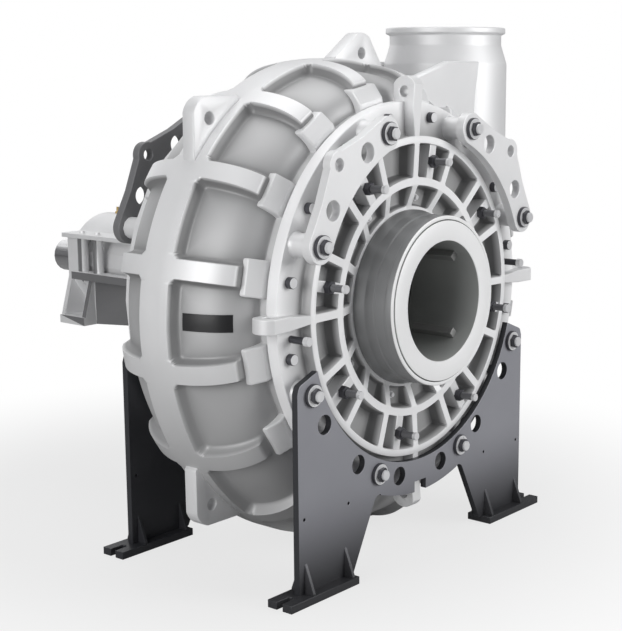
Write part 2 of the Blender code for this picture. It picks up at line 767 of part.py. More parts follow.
def plate_hole(spot):
    radius = (TIE_BOLT_R + BOLT_CLEARANCE) / math.cos(math.pi / BOLT_RING)
    return circle(*spot, radius, BOLT_RING)


def upper_plate_loops():
    """Tie plate between two bolts: round lobes, an arc inside and a pierced apex outside."""
    half = 180.0 / TIE_COUNT
    outer = TIE_RADIUS + PLATE_LOBE_R
    inner = TIE_RADIUS - PLATE_LOBE_R
    flank = half * 0.55
    left = at_angle(TIE_RADIUS, half)
    right = at_angle(TIE_RADIUS, -half)
    outline = (arc(*right, PLATE_LOBE_R, -half - 180, -half, 6)
               + [at_angle(outer, -flank)]
               + arc(PLATE_APEX_RADIUS, 0, PLATE_APEX_R, -60, 60, 4)
               + [at_angle(outer, flank)]
               + arc(*left, PLATE_LOBE_R, half, half + 180, 6)
               + arc(0, 0, inner, half, -half, 8)[1:-1])
    holes = [plate_hole(left), plate_hole(right), circle(PLATE_APEX_RADIUS, 0, PLATE_APEX_HOLE_R, 10)]
    holes += [circle(*at_angle(TIE_RADIUS, side * half / 2), ACCESS_R) for side in (-1, 1)]
    return [outline, *holes]


def leg_loops():
    """Both legs and the bridge between them in one plate, outlined in (x, z)."""
    top = math.degrees(math.asin(SADDLE_TOP / SADDLE_R))
    shoulder = -SADDLE_TOP - SHOULDER_DROP
    foot_top = -AXIS_HEIGHT + FOOT_T - FUSE
    knee = -math.sqrt(BRIDGE_R ** 2 - LEG_KNEE_X ** 2)
    notch = math.sqrt(BRIDGE_R ** 2 - NOTCH_HALF ** 2)
    inner_angle = math.degrees(math.acos(LEG_KNEE_X / BRIDGE_R))
    notch_angle = math.degrees(math.acos(NOTCH_HALF / BRIDGE_R))
    right = [(NOTCH_HALF, NOTCH_DEPTH - notch), (NOTCH_HALF, -notch)]
    right += arc(0, 0, BRIDGE_R, -notch_angle, -inner_angle, 3)[1:-1]
    right += [(LEG_KNEE_X, knee), (LEG_FOOT_INNER, foot_top + 2 * FUSE), (LEG_FOOT_INNER, foot_top),
              (LEG_OUTER, foot_top), (LEG_OUTER, shoulder - SHOULDER_BEVEL),
              (LEG_OUTER - SHOULDER_BEVEL / 3, shoulder)]
    saddle = arc(0, 0, SADDLE_R, -top, top - 180, 16)
    left = [(-x, z) for x, z in reversed(right)]
    holes = []
    for angle in tie_angles():
        if not is_upper(angle):
            holes.append(plate_hole(at_angle(TIE_RADIUS, angle)))
    step = 90.0 / TIE_COUNT
    for k in (3, 5, 7):
        for mirror in (1, -1):
            x, z = at_angle(TIE_RADIUS, -step * k)
            holes.append(circle(mirror * x, z, ACCESS_R))
    return [right + saddle + left, *holes]


def foot(side, middle):
    """Foot pad with an open slot for a foundation bolt, and its four gussets."""
    low = -AXIS_HEIGHT
    y0, y1 = middle - FOOT_DEPTH / 2, middle + FOOT_DEPTH / 2
    slot = FOOT_OUTER - FOOT_SLOT_L
    outline = [(FOOT_INNER, y0), (FOOT_OUTER, y0), (FOOT_OUTER, middle - FOOT_SLOT_W / 2)]
    outline += [(x, y) for x, y in arc(slot, middle, FOOT_SLOT_W / 2, 270, 90, 5)]
    outline += [(FOOT_OUTER, middle + FOOT_SLOT_W / 2), (FOOT_OUTER, y1), (FOOT_INNER, y1)]
    pad = prism([outline], lambda x, y: (side * x, y, low), (0, 0, FOOT_T))
    shapes = [pad]
    for x in GUSSET_XS:
        for facing in (-1, 1):
            base = low + FOOT_T - FUSE
            near = middle + facing * (LEG_T / 2 - FUSE)
            far = middle + facing * (FOOT_DEPTH / 2 - FUSE)
            loop = [(near, base), (far, base), (far, base + 2 * FUSE), (near, base + GUSSET_H)]
            shapes.append(side_plate([loop], side * x - GUSSET_T / 2, GUSSET_T))
    return shapes


def legs(front):
    body = plate(leg_loops(), front, LEG_T)
    middle = front + LEG_T / 2
    return fused(body, *foot(1, middle), *foot(-1, middle))


# Impeller and liners

def vane_outline():
    """A backward curved vane in (x, z): half its thickness each side of a spiral mean line."""
    inner = EYE_R + VANE_T
    outer = IMPELLER_R - VANE_T / 2
    spots = [Vector(at_angle(inner + (outer - inner) * i / 6, VANE_WRAP * i / 6)) for i in range(7)]
    face, back = [], []
    for before, spot, after in zip(spots[:1] + spots, spots, spots[1:] + spots[-1:]):
        along = (after - before).normalized()
        side = Vector((-along.y, along.x)) * VANE_T / 2
        face.append(tuple(spot + side))
        back.append(tuple(spot - side))
    return face + back[::-1]


def impeller():
    """Closed impeller: two shrouds, backward curved vanes and a nosed hub."""
    inner_front = IMPELLER_FRONT + SHROUD_T
    inner_back = IMPELLER_BACK - SHROUD_T
    front = turned([(EYE_R, IMPELLER_FRONT), (IMPELLER_R, IMPELLER_FRONT),
                    (IMPELLER_R, inner_front), (EYE_R, inner_front)])
    nose = IMPELLER_BACK - NOSE_LENGTH
    back = turned([(0, nose), (HUB_R * 0.45, nose + HUB_R * 0.2), (HUB_R, nose + HUB_R),
                   (HUB_R, inner_back), (IMPELLER_R, inner_back), (IMPELLER_R, IMPELLER_BACK),
                   (clear_of(SHAFT_SEAT_R), IMPELLER_BACK),
                   (clear_of(SHAFT_SEAT_R), IMPELLER_BACK - SHAFT_SEAT_L - GAP),
                   (0, IMPELLER_BACK - SHAFT_SEAT_L - GAP)])
    depth = inner_back - inner_front + 2 * FUSE
    vanes = [swung(plate([vane_outline()], inner_front - FUSE, depth), 360.0 * k / VANE_COUNT)
             for k in range(VANE_COUNT)]
    return fused(back, front, *vanes)


def back_liner():
    front = IMPELLER_BACK + LINER_TRAVEL + IMPELLER_GAP
    disc_r = CASING_OPENING_R - LINER_R_GAP
    bore = clear_of(BOX_R)
    return turned([(bore, front), (disc_r, front), (disc_r, CASING_REAR), (bore, CASING_REAR)])


def back_cover():
    """Plain cover on the drive side, with a raised hub for the pedestal and pillars for the ties."""
    hub = BACK_FACE + HUB_SET - COVER_FLOOR_T
    front = CASING_REAR + GAP
    bore = clear_of(BOX_R)
    body = turned([(bore, front), (COVER_FLANGE_R, front), (COVER_FLANGE_R, BACK_FACE),
                   (COVER_RING_R, BACK_FACE), (MID_RING_R, front + COVER_FLOOR_T + FUSE),
                   (RING_R + FUSE, front + COVER_FLOOR_T + FUSE), (RING_R, hub), (bore, hub)])
    added, through = [], []
    for angle in tie_angles():
        x, z = at_angle(TIE_RADIUS, angle)
        standoff = UPPER_PLATE_STANDOFF if is_upper(angle) else LEG_STANDOFF
        added.append(rod(PILLAR_R, BACK_FACE - FUSE, BACK_FACE + standoff, x, z))
        through.append(tie_hole(front - FUSE, BACK_FACE + standoff + FUSE, x, z, angle, BOLT_CLEARANCE))
    return cut(fused(body, *added), *through)


# Stuffing box and gland

BOX_FRONT = IMPELLER_BACK + LINER_TRAVEL + IMPELLER_GAP + GAP
BOX_SEAT = BACK_FACE + HUB_SET - COVER_FLOOR_T + GAP
BOX_END = BOX_FRONT + BOX_LENGTH
PACKING_START = BOX_END - GLAND_NOSE - 2 * PACKING_L - LANTERN_L


def gland_stud_spots():
    return [at_angle(GLAND_STUD_RADIUS, angle) for angle in (0, 180)]


def stuffing_box():
    """Box pushed into the back cover from behind, held by its flange, with two gland studs."""
    throat = SLEEVE_R + BOX_THROAT_GAP
    flange_back = BOX_SEAT + BOX_FLANGE_T
    body = turned([(throat, BOX_FRONT), (BOX_R, BOX_FRONT), (BOX_R, BOX_SEAT), (BOX_FLANGE_R, BOX_SEAT),
                   (BOX_FLANGE_R, flange_back), (BOX_R, flange_back), (BOX_R, BOX_END),
                   (BOX_BORE_R, BOX_END), (BOX_BORE_R, PACKING_START - GAP),
                   (throat, PACKING_START - GAP)], MEDIUM)
    tip = BOX_END + GLAND_FLANGE_T + GLAND_TRAVEL + 4 * GLAND_STUD_R
    studs = [rod(GLAND_STUD_R, flange_back - FUSE, tip, x, z, 8) for x, z in gland_stud_spots()]
    return fused(body, *studs)


def soft_ring(start, length, inner, outer):
    return turned([(inner, start), (outer, start), (outer, start + length), (inner, start + length)], MEDIUM)


def gland_follower():
    """Flange and nose that press the packing; its nuts ride with it along the studs."""
    clear = SLEEVE_R + BOX_THROAT_GAP
    back = BOX_END + GAP + GLAND_FLANGE_T
    nose = BOX_END - GLAND_NOSE + GAP
    body = turned([(clear, nose), (BOX_BORE_R - BOX_THROAT_GAP, nose),
                   (BOX_BORE_R - BOX_THROAT_GAP, BOX_END + GAP), (GLAND_FLANGE_R, BOX_END + GAP),
                   (GLAND_FLANGE_R, back), (clear, back)], MEDIUM)
    nuts, holes = [], []
    for x, z in gland_stud_spots():
        nuts.append(rod(2 * GLAND_STUD_R, back - FUSE, back + 2 * GLAND_STUD_R, x, z, 6))
        holes.append(rod(GLAND_STUD_R + BOLT_CLEARANCE, BOX_END - GLAND_NOSE, back + 3 * GLAND_STUD_R,
                         x, z, 8))
    return cut(fused(body, *nuts), *holes)


# Shaft and bearings

def shaft():
    """Stepped shaft: impeller seat, sleeve land, two bearing seats and a keyed drive end."""
    seat = IMPELLER_BACK - SHAFT_SEAT_L
    bevel = SHAFT_END_R * 0.06
    land = IMPELLER_BACK + GAP + SLEEVE_LENGTH + GAP
    body = turned([(0, seat), (SHAFT_SEAT_R, seat), (SHAFT_SEAT_R, IMPELLER_BACK + GAP),
                   (SHAFT_BODY_R, IMPELLER_BACK + GAP), (SHAFT_BODY_R, land),
                   (SHAFT_BEARING_R, land), (SHAFT_BEARING_R, PEDESTAL_END + LABYRINTH_W),
                   (SHAFT_END_R, PEDESTAL_END + LABYRINTH_W), (SHAFT_END_R, SHAFT_END - bevel),
                   (SHAFT_END_R - bevel, SHAFT_END), (0, SHAFT_END)], MEDIUM)
    slot = block((SHAFT_END_R - KEY_DEPTH, SHAFT_END - KEY_LENGTH, -KEY_W / 2),
                 (SHAFT_END_R + KEY_DEPTH, SHAFT_END + FUSE, KEY_W / 2))
    return cut(body, slot)


def shaft_sleeve():
    start = IMPELLER_BACK + GAP
    return turned([(SHAFT_BODY_R + GAP, start), (SLEEVE_R, start), (SLEEVE_R, start + SLEEVE_LENGTH),
                   (SHAFT_BODY_R + GAP, start + SLEEVE_LENGTH)], MEDIUM)


def bearing_starts():
    return [HOUSING_START + GAP, HOUSING_END - GAP - BEARING_W]


def outer_race(start):
    return turned([(BEARING_OUTER_R - BEARING_RACE, start), (BEARING_OUTER_R - GAP, start),
                   (BEARING_OUTER_R - GAP, start + BEARING_W),
                   (BEARING_OUTER_R - BEARING_RACE, start + BEARING_W)],
                  MEDIUM)


def inner_race(start):
    """Inner race with its crown of rollers, whose tops reach the outer race."""
    bore = SHAFT_BEARING_R + GAP
    top = (BEARING_OUTER_R - BEARING_RACE) * math.cos(math.pi / MEDIUM) - GAP
    crown = []
    for k in range(2 * ROLLER_COUNT):
        crown.append(at_angle(top - BEARING_RACE * (k % 2), 180.0 * k / ROLLER_COUNT))
    return plate([crown, circle(0, 0, bore, MEDIUM)], start, BEARING_W)


def bearing_housing():
    """Barrel bored for both bearings, relieved between them."""
    relief = BEARING_OUTER_R - BEARING_RACE / 2
    first = HOUSING_START + BEARING_W + 2 * GAP
    last = HOUSING_END - BEARING_W - 2 * GAP
    return turned([(BEARING_OUTER_R, HOUSING_START), (HOUSING_R, HOUSING_START), (HOUSING_R, HOUSING_END),
                   (BEARING_OUTER_R, HOUSING_END), (BEARING_OUTER_R, last), (relief, last),
                   (relief, first), (BEARING_OUTER_R, first)], MEDIUM)


def end_cover(start):
    bore = LABYRINTH_R + LABYRINTH_GAP
    return turned([(bore, start), (END_COVER_R, start), (END_COVER_R, start + END_COVER_T),
                   (bore, start + END_COVER_T)], MEDIUM)


def labyrinth(start):
    """Shaft seal ring with a groove between two fins, turning inside the end cover."""
    bore = SHAFT_BEARING_R + GAP
    groove = LABYRINTH_R - END_COVER_T / 3
    fin = LABYRINTH_W / 3
    profile = [(bore, start)]
    for k in range(3):
        radius = groove if k % 2 else LABYRINTH_R
        profile += [(radius, start + k * fin), (radius, start + (k + 1) * fin)]
    return turned(profile + [(bore, start + LABYRINTH_W)], 20)


# Pedestal and cap

def cap_outline(outer, inner, flange_x, low, thick):
    """Half shell over the barrel with a bolting flange each side, in (x, z)."""
    rim = math.degrees(math.asin((low + thick) / outer))
    foot_angle = math.degrees(math.asin(low / inner))
    return ([(flange_x, low), (flange_x, low + thick)] + arc(0, 0, outer, rim, 180 - rim, 14)
            + [(-flange_x, low + thick), (-flange_x, low)]
            + arc(0, 0, inner, 180 - foot_angle, foot_angle, 14))


def bearing_cap():
    inner = clear_of(HOUSING_R)
    low = CAP_SPLIT + GAP
    body = plate([cap_outline(inner + CAP_T, inner, CAP_FLANGE_X, low, CAP_T)],
                 CRADLE_START, PEDESTAL_END - CRADLE_START)
    heads = []
    for side in (-1, 1):
        for back in PILLAR_YS:
            heads.append(post(CAP_BOLT_R, side * CAP_BOLT_XS, PEDESTAL_END - back, low + CAP_T - FUSE,
                              low + CAP_T + CAP_BOLT_R, 6))
    holes = [post(NIPPLE_R + GAP, 0, y, inner - FUSE, inner + CAP_T + FUSE, 8) for y in nipple_spots()]
    return cut(fused(body, *heads), *holes)


def nipple_spots():
    return [CRADLE_START + BEARING_W, PEDESTAL_END - BEARING_W]


def grease_nipple(y):
    seat = clear_of(HOUSING_R)
    top = seat + CAP_T
    return turned([(0, seat), (NIPPLE_R, seat), (NIPPLE_R, top + GAP),
                   (NIPPLE_R * 1.5, top + GAP), (NIPPLE_R * 1.5, top + NIPPLE_R),
                   (NIPPLE_R * 0.7, top + NIPPLE_R * 1.4), (NIPPLE_R * 0.7, top + NIPPLE_H),
                   (0, top + NIPPLE_H)],
                  8, (0, 0, 1), (0, y, 0))


def bearing_pedestal():
    """Cast pedestal hung from the back cover: mounting ring, side cheeks, shelf with cast bosses
    under the cap, cradle for the barrel, end frame, cross web and two feet at the drive end."""
    ring_start = BACK_FACE + HUB_SET - COVER_FLOOR_T + GAP
    ring_end = ring_start + RING_T
    cradle_r = clear_of(HOUSING_R, MEDIUM)
    wall_r = cradle_r + CRADLE_WALL / 2
    shelf_low = SHELF_TOP - SHELF_T
    foot_start = PEDESTAL_END - PEDESTAL_FOOT_L
    foot_low = -PEDESTAL_DROP
    ring = turned([(RING_BORE_R, ring_start), (RING_R, ring_start), (RING_R, ring_end),
                   (RING_BORE_R, ring_end)])
    shapes = []
    for side in (-1, 1):
        inner = side * wall_r
        shapes.append(block((min(inner, side * SHELF_X), ring_end - FUSE, shelf_low),
                            (max(inner, side * SHELF_X), PEDESTAL_END - END_FRAME_T + FUSE, SHELF_TOP)))
        cheek = [(ring_end - FUSE, shelf_low + FUSE), (foot_start + FUSE, shelf_low + FUSE),
                 (foot_start + FUSE, foot_low), (ring_end - FUSE, -HOUSING_R)]
        left = side * (END_FRAME_X - CHEEK_T) - CHEEK_T / 2
        shapes.append(side_plate([cheek], left, CHEEK_T))
        shapes.append(block((min(side * PEDESTAL_FOOT_IN, side * PEDESTAL_FOOT_X), foot_start, foot_low),
                            (max(side * PEDESTAL_FOOT_IN, side * PEDESTAL_FOOT_X), PEDESTAL_END,
                             foot_low + PEDESTAL_FOOT_T)))
        for back in PILLAR_YS:
            shapes.append(post(CAST_BOSS_R, side * CAP_BOLT_XS, PEDESTAL_END - back, SHELF_TOP - FUSE,
                               CAP_SPLIT))
        low_turn = -math.degrees(math.acos(PEDESTAL_FOOT_IN / wall_r))
        high_turn = -math.degrees(math.asin(-shelf_low / wall_r))
        brace = [(END_FRAME_X, shelf_low + FUSE), (PEDESTAL_FOOT_X, foot_low + FUSE),
                 (PEDESTAL_FOOT_IN, foot_low + FUSE)] + arc(0, 0, wall_r, low_turn, high_turn, 3)
        brace = [(side * x, z) for x, z in brace]
        shapes.append(plate([brace], foot_start, CHEEK_T))
        shapes.append(plate([brace], PEDESTAL_END - CHEEK_T, CHEEK_T))
    step = 360.0 / MEDIUM
    rise = math.floor(MEDIUM / 2 - 1)
    seat = HOUSING_R + GAP
    cradle = (arc(0, 0, cradle_r + CRADLE_WALL, -180 + step, -step, rise - 1)
              + arc(0, 0, seat, -step, -180 + step, rise - 1))
    shapes.append(plate([cradle], CRADLE_START, PEDESTAL_END - END_FRAME_T + FUSE - CRADLE_START))
    top = math.degrees(math.asin(CAP_SPLIT / cradle_r))
    frame = ([(-END_FRAME_X, CAP_SPLIT), (-END_FRAME_X, shelf_low),
              (-END_FRAME_X * 0.5, -cradle_r - CRADLE_WALL),
              (END_FRAME_X * 0.5, -cradle_r - CRADLE_WALL), (END_FRAME_X, shelf_low),
              (END_FRAME_X, CAP_SPLIT)]
             + arc(0, 0, cradle_r, top, -180 - top, 16))
    shapes.append(plate([frame], PEDESTAL_END - END_FRAME_T, END_FRAME_T))
    return fused(ring, *shapes)


# Assembly

def axis_empty(name, parent, location=(0, 0, 0)):
    made = bpy.data.objects.new(name, None)
    bpy.context.scene.collection.objects.link(made)
    made.parent = parent
    made.location = location
    return made


def build():
    clear_scene()
    casting = finish_material("cast_steel", (0.72, 0.72, 0.71), 0.45, 0.55)
    machined = finish_material("machined_steel", (0.80, 0.80, 0.80), 0.25, 1.0)
    neck_grey = finish_material("suction_casting", (0.20, 0.20, 0.20), 0.50, 0.55)
    leg_paint = finish_material("leg_paint", (0.08, 0.08, 0.09), 0.45, 0.0)
    white_iron = finish_material("white_iron", (0.45, 0.45, 0.44), 0.50, 0.8)
    bolt_steel = finish_material("bolt_steel", (0.60, 0.60, 0.60), 0.30, 1.0)
    packing = finish_material("gland_packing", (0.25, 0.22, 0.18), 0.90, 0.0)
    brass = finish_material("nipple_brass", (0.60, 0.45, 0.20), 0.35, 1.0)

    left = -(crown_radius(180.0) + RIB_HEIGHT)
    right = CROWN_R_END + RIB_HEIGHT
    pump = axis_empty("pump_frame", None, (-(left + right) / 2, -SHAFT_END / 2, AXIS_HEIGHT))
    rotor = axis_empty("rotor_axis", pump)
    liner = axis_empty("liner_slide", pump)
    gland = axis_empty("gland_slide", pump)

    named("volute_casing", volute_casing(), casting, pump)
    named("suction_cover", suction_cover(), casting, pump)
    named("suction_sleeve", suction_sleeve(), neck_grey, pump)
    named("suction_liner", suction_liner(), white_iron, liner)
    first = named("adjuster_stud_1", adjuster_stud(), bolt_steel, liner)
    for k in range(1, ADJUSTER_COUNT):
        copied(f"adjuster_stud_{k + 1}", first, 360.0 * k / ADJUSTER_COUNT)
    named("impeller", impeller(), white_iron, rotor)
    named("back_liner", back_liner(), white_iron, pump)
    named("back_cover", back_cover(), casting, pump)
    named("stuffing_box", stuffing_box(), casting, pump)
    packed_r = BOX_BORE_R - GAP
    packed_in = clear_of(SLEEVE_R, MEDIUM)
    named("packing_inner", soft_ring(PACKING_START, PACKING_L - GAP, packed_in, packed_r), packing, pump)
    named("lantern_ring", soft_ring(PACKING_START + PACKING_L, LANTERN_L - GAP, packed_in + BOX_THROAT_GAP,
                                    packed_r), machined, pump)
    named("packing_outer", soft_ring(PACKING_START + PACKING_L + LANTERN_L, PACKING_L - GAP, packed_in,
                                     packed_r), packing, pump)
    named("gland_follower", gland_follower(), machined, gland)
    named("shaft_sleeve", shaft_sleeve(), machined, rotor)
    named("shaft", shaft(), machined, rotor)

    for label, start in zip(("pump", "drive"), bearing_starts()):
        named(f"{label}_bearing_outer", outer_race(start), bolt_steel, pump)
        named(f"{label}_bearing_inner", inner_race(start), bolt_steel, rotor)
    pump_end, drive_end = HOUSING_START - GAP, HOUSING_END + GAP
    named("pump_end_cover", end_cover(pump_end - END_COVER_T), casting, pump)
    named("pump_labyrinth", labyrinth(pump_end - LABYRINTH_W), machined, rotor)
    named("drive_end_cover", end_cover(drive_end), casting, pump)
    named("drive_labyrinth", labyrinth(drive_end), machined, rotor)
    named("bearing_housing", bearing_housing(), casting, pump)
    named("bearing_pedestal", bearing_pedestal(), casting, pump)
    named("bearing_cap", bearing_cap(), casting, pump)
    for k, y in enumerate(nipple_spots()):
        named(f"grease_nipple_{k + 1}", grease_nipple(y), brass, pump)

    leg_front = COVER_FACE - LEG_STANDOFF - GAP - LEG_T
    leg_back = BACK_FACE + LEG_STANDOFF + GAP
    named("front_legs", legs(leg_front), leg_paint, pump)
    named("rear_legs", legs(leg_back), leg_paint, pump)
    plate_front = COVER_FACE - UPPER_PLATE_STANDOFF - GAP - UPPER_PLATE_T
    plate_back = BACK_FACE + UPPER_PLATE_STANDOFF + GAP
    for place, y in (("front", plate_front), ("rear", plate_back)):
        for label, angle in (("right", 45), ("left", 135)):
            shape = swung(plate(upper_plate_loops(), y, UPPER_PLATE_T), angle)
            named(f"{place}_tie_plate_{label}", shape, casting, pump)

    turn_round = Matrix.Rotation(math.pi, 4, "X")
    shift = Matrix.Translation((0, 2 * CASING_MID, 0))
    spans = {True: (UPPER_PLATE_STANDOFF + GAP, UPPER_PLATE_T), False: (LEG_STANDOFF + GAP, LEG_T)}
    for place in ("front", "rear"):
        originals = {}
        for k, angle in enumerate(tie_angles()):
            upper = is_upper(angle)
            name = f"{place}_tie_bolt_{k + 1}"
            if upper in originals:
                copied(name, originals[upper], angle)
                continue
            shape = tie_bolt(*spans[upper])
            if place == "rear":
                shape.data.transform(shift @ turn_round)
            originals[upper] = named(name, shape, bolt_steel, pump, join_flats=False)
            originals[upper].rotation_euler = (0, -math.radians(angle), 0)


build()
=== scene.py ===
import json
import math

import bmesh
import bpy
import numpy as np
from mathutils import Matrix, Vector


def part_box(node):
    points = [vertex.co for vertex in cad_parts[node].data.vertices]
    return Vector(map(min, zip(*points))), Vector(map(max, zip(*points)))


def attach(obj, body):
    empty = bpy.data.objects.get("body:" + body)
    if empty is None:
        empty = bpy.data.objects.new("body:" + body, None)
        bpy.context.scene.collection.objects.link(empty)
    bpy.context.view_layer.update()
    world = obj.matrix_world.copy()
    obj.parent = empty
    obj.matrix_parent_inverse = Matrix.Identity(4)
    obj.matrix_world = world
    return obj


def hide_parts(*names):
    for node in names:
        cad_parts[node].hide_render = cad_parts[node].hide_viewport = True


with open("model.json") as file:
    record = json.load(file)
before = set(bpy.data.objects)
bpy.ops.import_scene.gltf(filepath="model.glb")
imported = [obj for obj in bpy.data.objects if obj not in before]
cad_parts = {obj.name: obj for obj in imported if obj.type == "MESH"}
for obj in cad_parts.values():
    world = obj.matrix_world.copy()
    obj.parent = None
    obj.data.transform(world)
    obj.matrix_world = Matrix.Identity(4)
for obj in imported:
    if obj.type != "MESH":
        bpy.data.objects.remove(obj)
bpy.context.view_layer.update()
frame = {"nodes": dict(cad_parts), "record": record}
linerLow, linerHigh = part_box("suction_liner")
# middle of the suction face, from which every pump size below is measured
pump = np.array([(linerLow.x + linerHigh.x) / 2, linerLow.y, (linerLow.z + linerHigh.z) / 2])
print("frame loaded,", len(frame["nodes"]), "nodes")


# Shader helpers

class Wire:  # a socket that takes part in Python sums

    def __init__(self, tree, socket):
        self.tree = tree
        self.socket = socket

    def maths(self, operation, other):
        return self.tree.node("ShaderNodeMath", {"operation": operation}, {0: self, 1: other})["Value"]

    def __add__(self, other):
        return self.maths("ADD", other)

    def __mul__(self, other):
        return self.maths("MULTIPLY", other)

    __radd__ = __add__                                # the order makes no difference to either
    __rmul__ = __mul__


class NodeTree:  # the nodes of a material or a world, and the one way they are made

    def __init__(self, owner):
        owner.use_nodes = True
        self.nodes = owner.node_tree.nodes
        self.links = owner.node_tree.links

    def node(self, kind, settings=None, inputs=None):
        # settings come first, then each socket, by its name or number, gets its value or link
        made = self.nodes.new(kind)
        for key, value in (settings or {}).items():
            setattr(made, key, value)
        named = {socket.name: socket for socket in made.inputs if socket.enabled}
        for key, value in (inputs or {}).items():
            self.feed(made.inputs[key] if isinstance(key, int) else named[key], value)
        return {out.name: Wire(self, out) for out in made.outputs if out.enabled}

    def feed(self, socket, value):
        if isinstance(value, Wire):
            self.links.new(value.socket, socket)
        else:
            socket.default_value = value


class Finish(NodeTree):  # a material with its shader and its patterns

    def __init__(self, name):
        self.material = bpy.data.materials.new(name)
        super().__init__(self.material)
        self.shader = self.nodes["Principled BSDF"]
        self.place = self.node("ShaderNodeTexCoord")["Object"]

    def mix(self, share, first, second):  # colours, one into the other
        return self.node("ShaderNodeMix", {"data_type": "RGBA"},
                         {"Factor": share, "A": first, "B": second})["Result"]

    def noise(self, scale, detail, roughness=0.5):
        return self.node("ShaderNodeTexNoise", None, {
            "Vector": self.place, "Scale": scale, "Detail": detail, "Roughness": roughness})["Fac"]

    def smoothRange(self, value, low, high, least=0.0):  # least up to low, 1 from high on
        return self.node("ShaderNodeMapRange", {"interpolation_type": "SMOOTHSTEP"}, {
            "Value": value, "From Min": low, "From Max": high, "To Min": least})["Result"]

    def set(self, sockets):
        for name, value in sockets.items():
            self.feed(self.shader.inputs[name], value)

    def finished(self, colour, gloss, height, look):
        # gloss varies the roughness, height feeds the bump
        normal = self.node("ShaderNodeBump", None, {
            "Strength": look["bump"], "Distance": look["depth"], "Height": height})["Normal"]
        self.set({"Base Color": colour, "Roughness": gloss * look["roughSpread"] + look["rough"],
                  "Metallic": look["metal"], "Normal": normal})
        return self.material


def lifted(colour, share):
    return (*(min(1.0, part * share) for part in colour), 1)


def castFinish(name, look):
    made = Finish(name)
    cloud = made.noise(look["cloud"], detail=4.0)     # broad shade of the blasted casting
    grain = made.noise(look["grain"], detail=2.0, roughness=0.6)
    colour = made.mix(cloud, lifted(look["colour"], 1 - look["spread"]),
                      lifted(look["colour"], 1 + look["spread"]))
    # painted light and shade: a value on each point darkens the colour in pockets and on walls as if
    # shaded, 1 on the lit crests
    if "relief" in look:  # the colour's share in the deepest pockets, where the mesh's painted shading value is 0
        crest = made.node("ShaderNodeAttribute", {"attribute_name": "relief"})["Fac"]
        colour = made.mix(crest, lifted(look["colour"], look["relief"]), colour)
    if "paintedShadeBelow" in look:  # painted shade towards the bottom: the colour's share below the low height, full above the high one
        low, high, share = look["paintedShadeBelow"]
        height = made.node("ShaderNodeSeparateXYZ", None, {"Vector": made.place})["Z"]
        colour = made.mix(made.smoothRange(height, low, high), lifted(look["colour"], share), colour)
    return made.finished(colour, cloud, grain, look)


def turnedFinish(name, look):
    made = Finish(name)
    shifted = made.node("ShaderNodeMapping", {"vector_type": "POINT"}, {
        "Vector": made.place, "Location": tuple(-pump)})["Vector"]
    rings = made.node("ShaderNodeTexWave", {"wave_type": "RINGS", "rings_direction": "Y"}, {
        "Vector": shifted, "Scale": look["lines"], "Distortion": 1.5, "Detail": 2.0})["Fac"]
    cloud = made.noise(look["cloud"], detail=3.0)
    colour = made.mix(cloud, lifted(look["colour"], look["dark"]), lifted(look["colour"], look["light"]))
    return made.finished(colour, rings, rings, look)


finishes = {
    "cast_steel": castFinish("castSilver", dict(
        colour=(0.78, 0.78, 0.785), spread=0.06, cloud=3.0, grain=160.0, rough=0.44, roughSpread=0.12,
        metal=0.30, bump=0.10, depth=0.0012)),
    "machined_steel": turnedFinish("turnedSteel", dict(
        colour=(0.74, 0.74, 0.75), dark=0.96, light=1.03, lines=60.0, cloud=3.0, rough=0.20,
        roughSpread=0.08, metal=0.9, bump=0.05, depth=0.0004)),
    "suction_casting": castFinish("neckGrey", dict(
        colour=(0.27, 0.273, 0.276), spread=0.07, cloud=3.0, grain=160.0, rough=0.42, roughSpread=0.10,
        metal=0.35, bump=0.12, depth=0.0012)),
    # the leg paint is darker towards the floor, a painted shade
    "leg_paint": castFinish("legPaint", dict(
        colour=(0.300, 0.302, 0.330), spread=0.06, cloud=2.5, grain=260.0, rough=0.36, roughSpread=0.08,
        metal=0.25, bump=0.06, depth=0.0006, paintedShadeBelow=(0.02, 0.62, 0.14))),
    "white_iron": castFinish("whiteIron", dict(
        colour=(0.34, 0.34, 0.335), spread=0.08, cloud=5.0, grain=150.0, rough=0.45, roughSpread=0.12,
        metal=0.45, bump=0.15, depth=0.0015)),
    "bolt_steel": castFinish("boltSteel", dict(
        colour=(0.82, 0.82, 0.83), spread=0.04, cloud=20.0, grain=400.0, rough=0.24, roughSpread=0.10,
        metal=0.45, bump=0.05, depth=0.0004)),
    "gland_packing": castFinish("packingBraid", dict(
        colour=(0.21, 0.18, 0.14), spread=0.20, cloud=60.0, grain=300.0, rough=0.85, roughSpread=0.10,
        metal=0.0, bump=0.5, depth=0.002)),
    "nipple_brass": castFinish("nippleBrass", dict(
        colour=(0.60, 0.43, 0.17), spread=0.06, cloud=30.0, grain=500.0, rough=0.26, roughSpread=0.08,
        metal=1.0, bump=0.05, depth=0.0003)),
}
# castPockets and coverPockets take the painted shading of their meshes, darker in the pockets as shade;
# castPockets is also painted darker towards the bottom, as shade
castPockets = castFinish("castPockets", dict(
    colour=(0.80, 0.80, 0.805), spread=0.07, cloud=3.2, grain=150.0, rough=0.44, roughSpread=0.12,
    metal=0.30, bump=0.10, depth=0.0012, relief=0.24, paintedShadeBelow=(0.15, 1.9, 0.55)))
coverPockets = castFinish("coverPockets", dict(
    colour=(0.90, 0.90, 0.905), spread=0.04, cloud=3.0, grain=160.0, rough=0.42, roughSpread=0.12,
    metal=0.12, bump=0.10, depth=0.0012, relief=0.20))
flangeBright = turnedFinish("flangeBright", dict(
    colour=(0.90, 0.90, 0.90), dark=0.96, light=1.03, lines=40.0, cloud=3.0, rough=0.36, roughSpread=0.06,
    metal=0.10, bump=0.04, depth=0.0003))
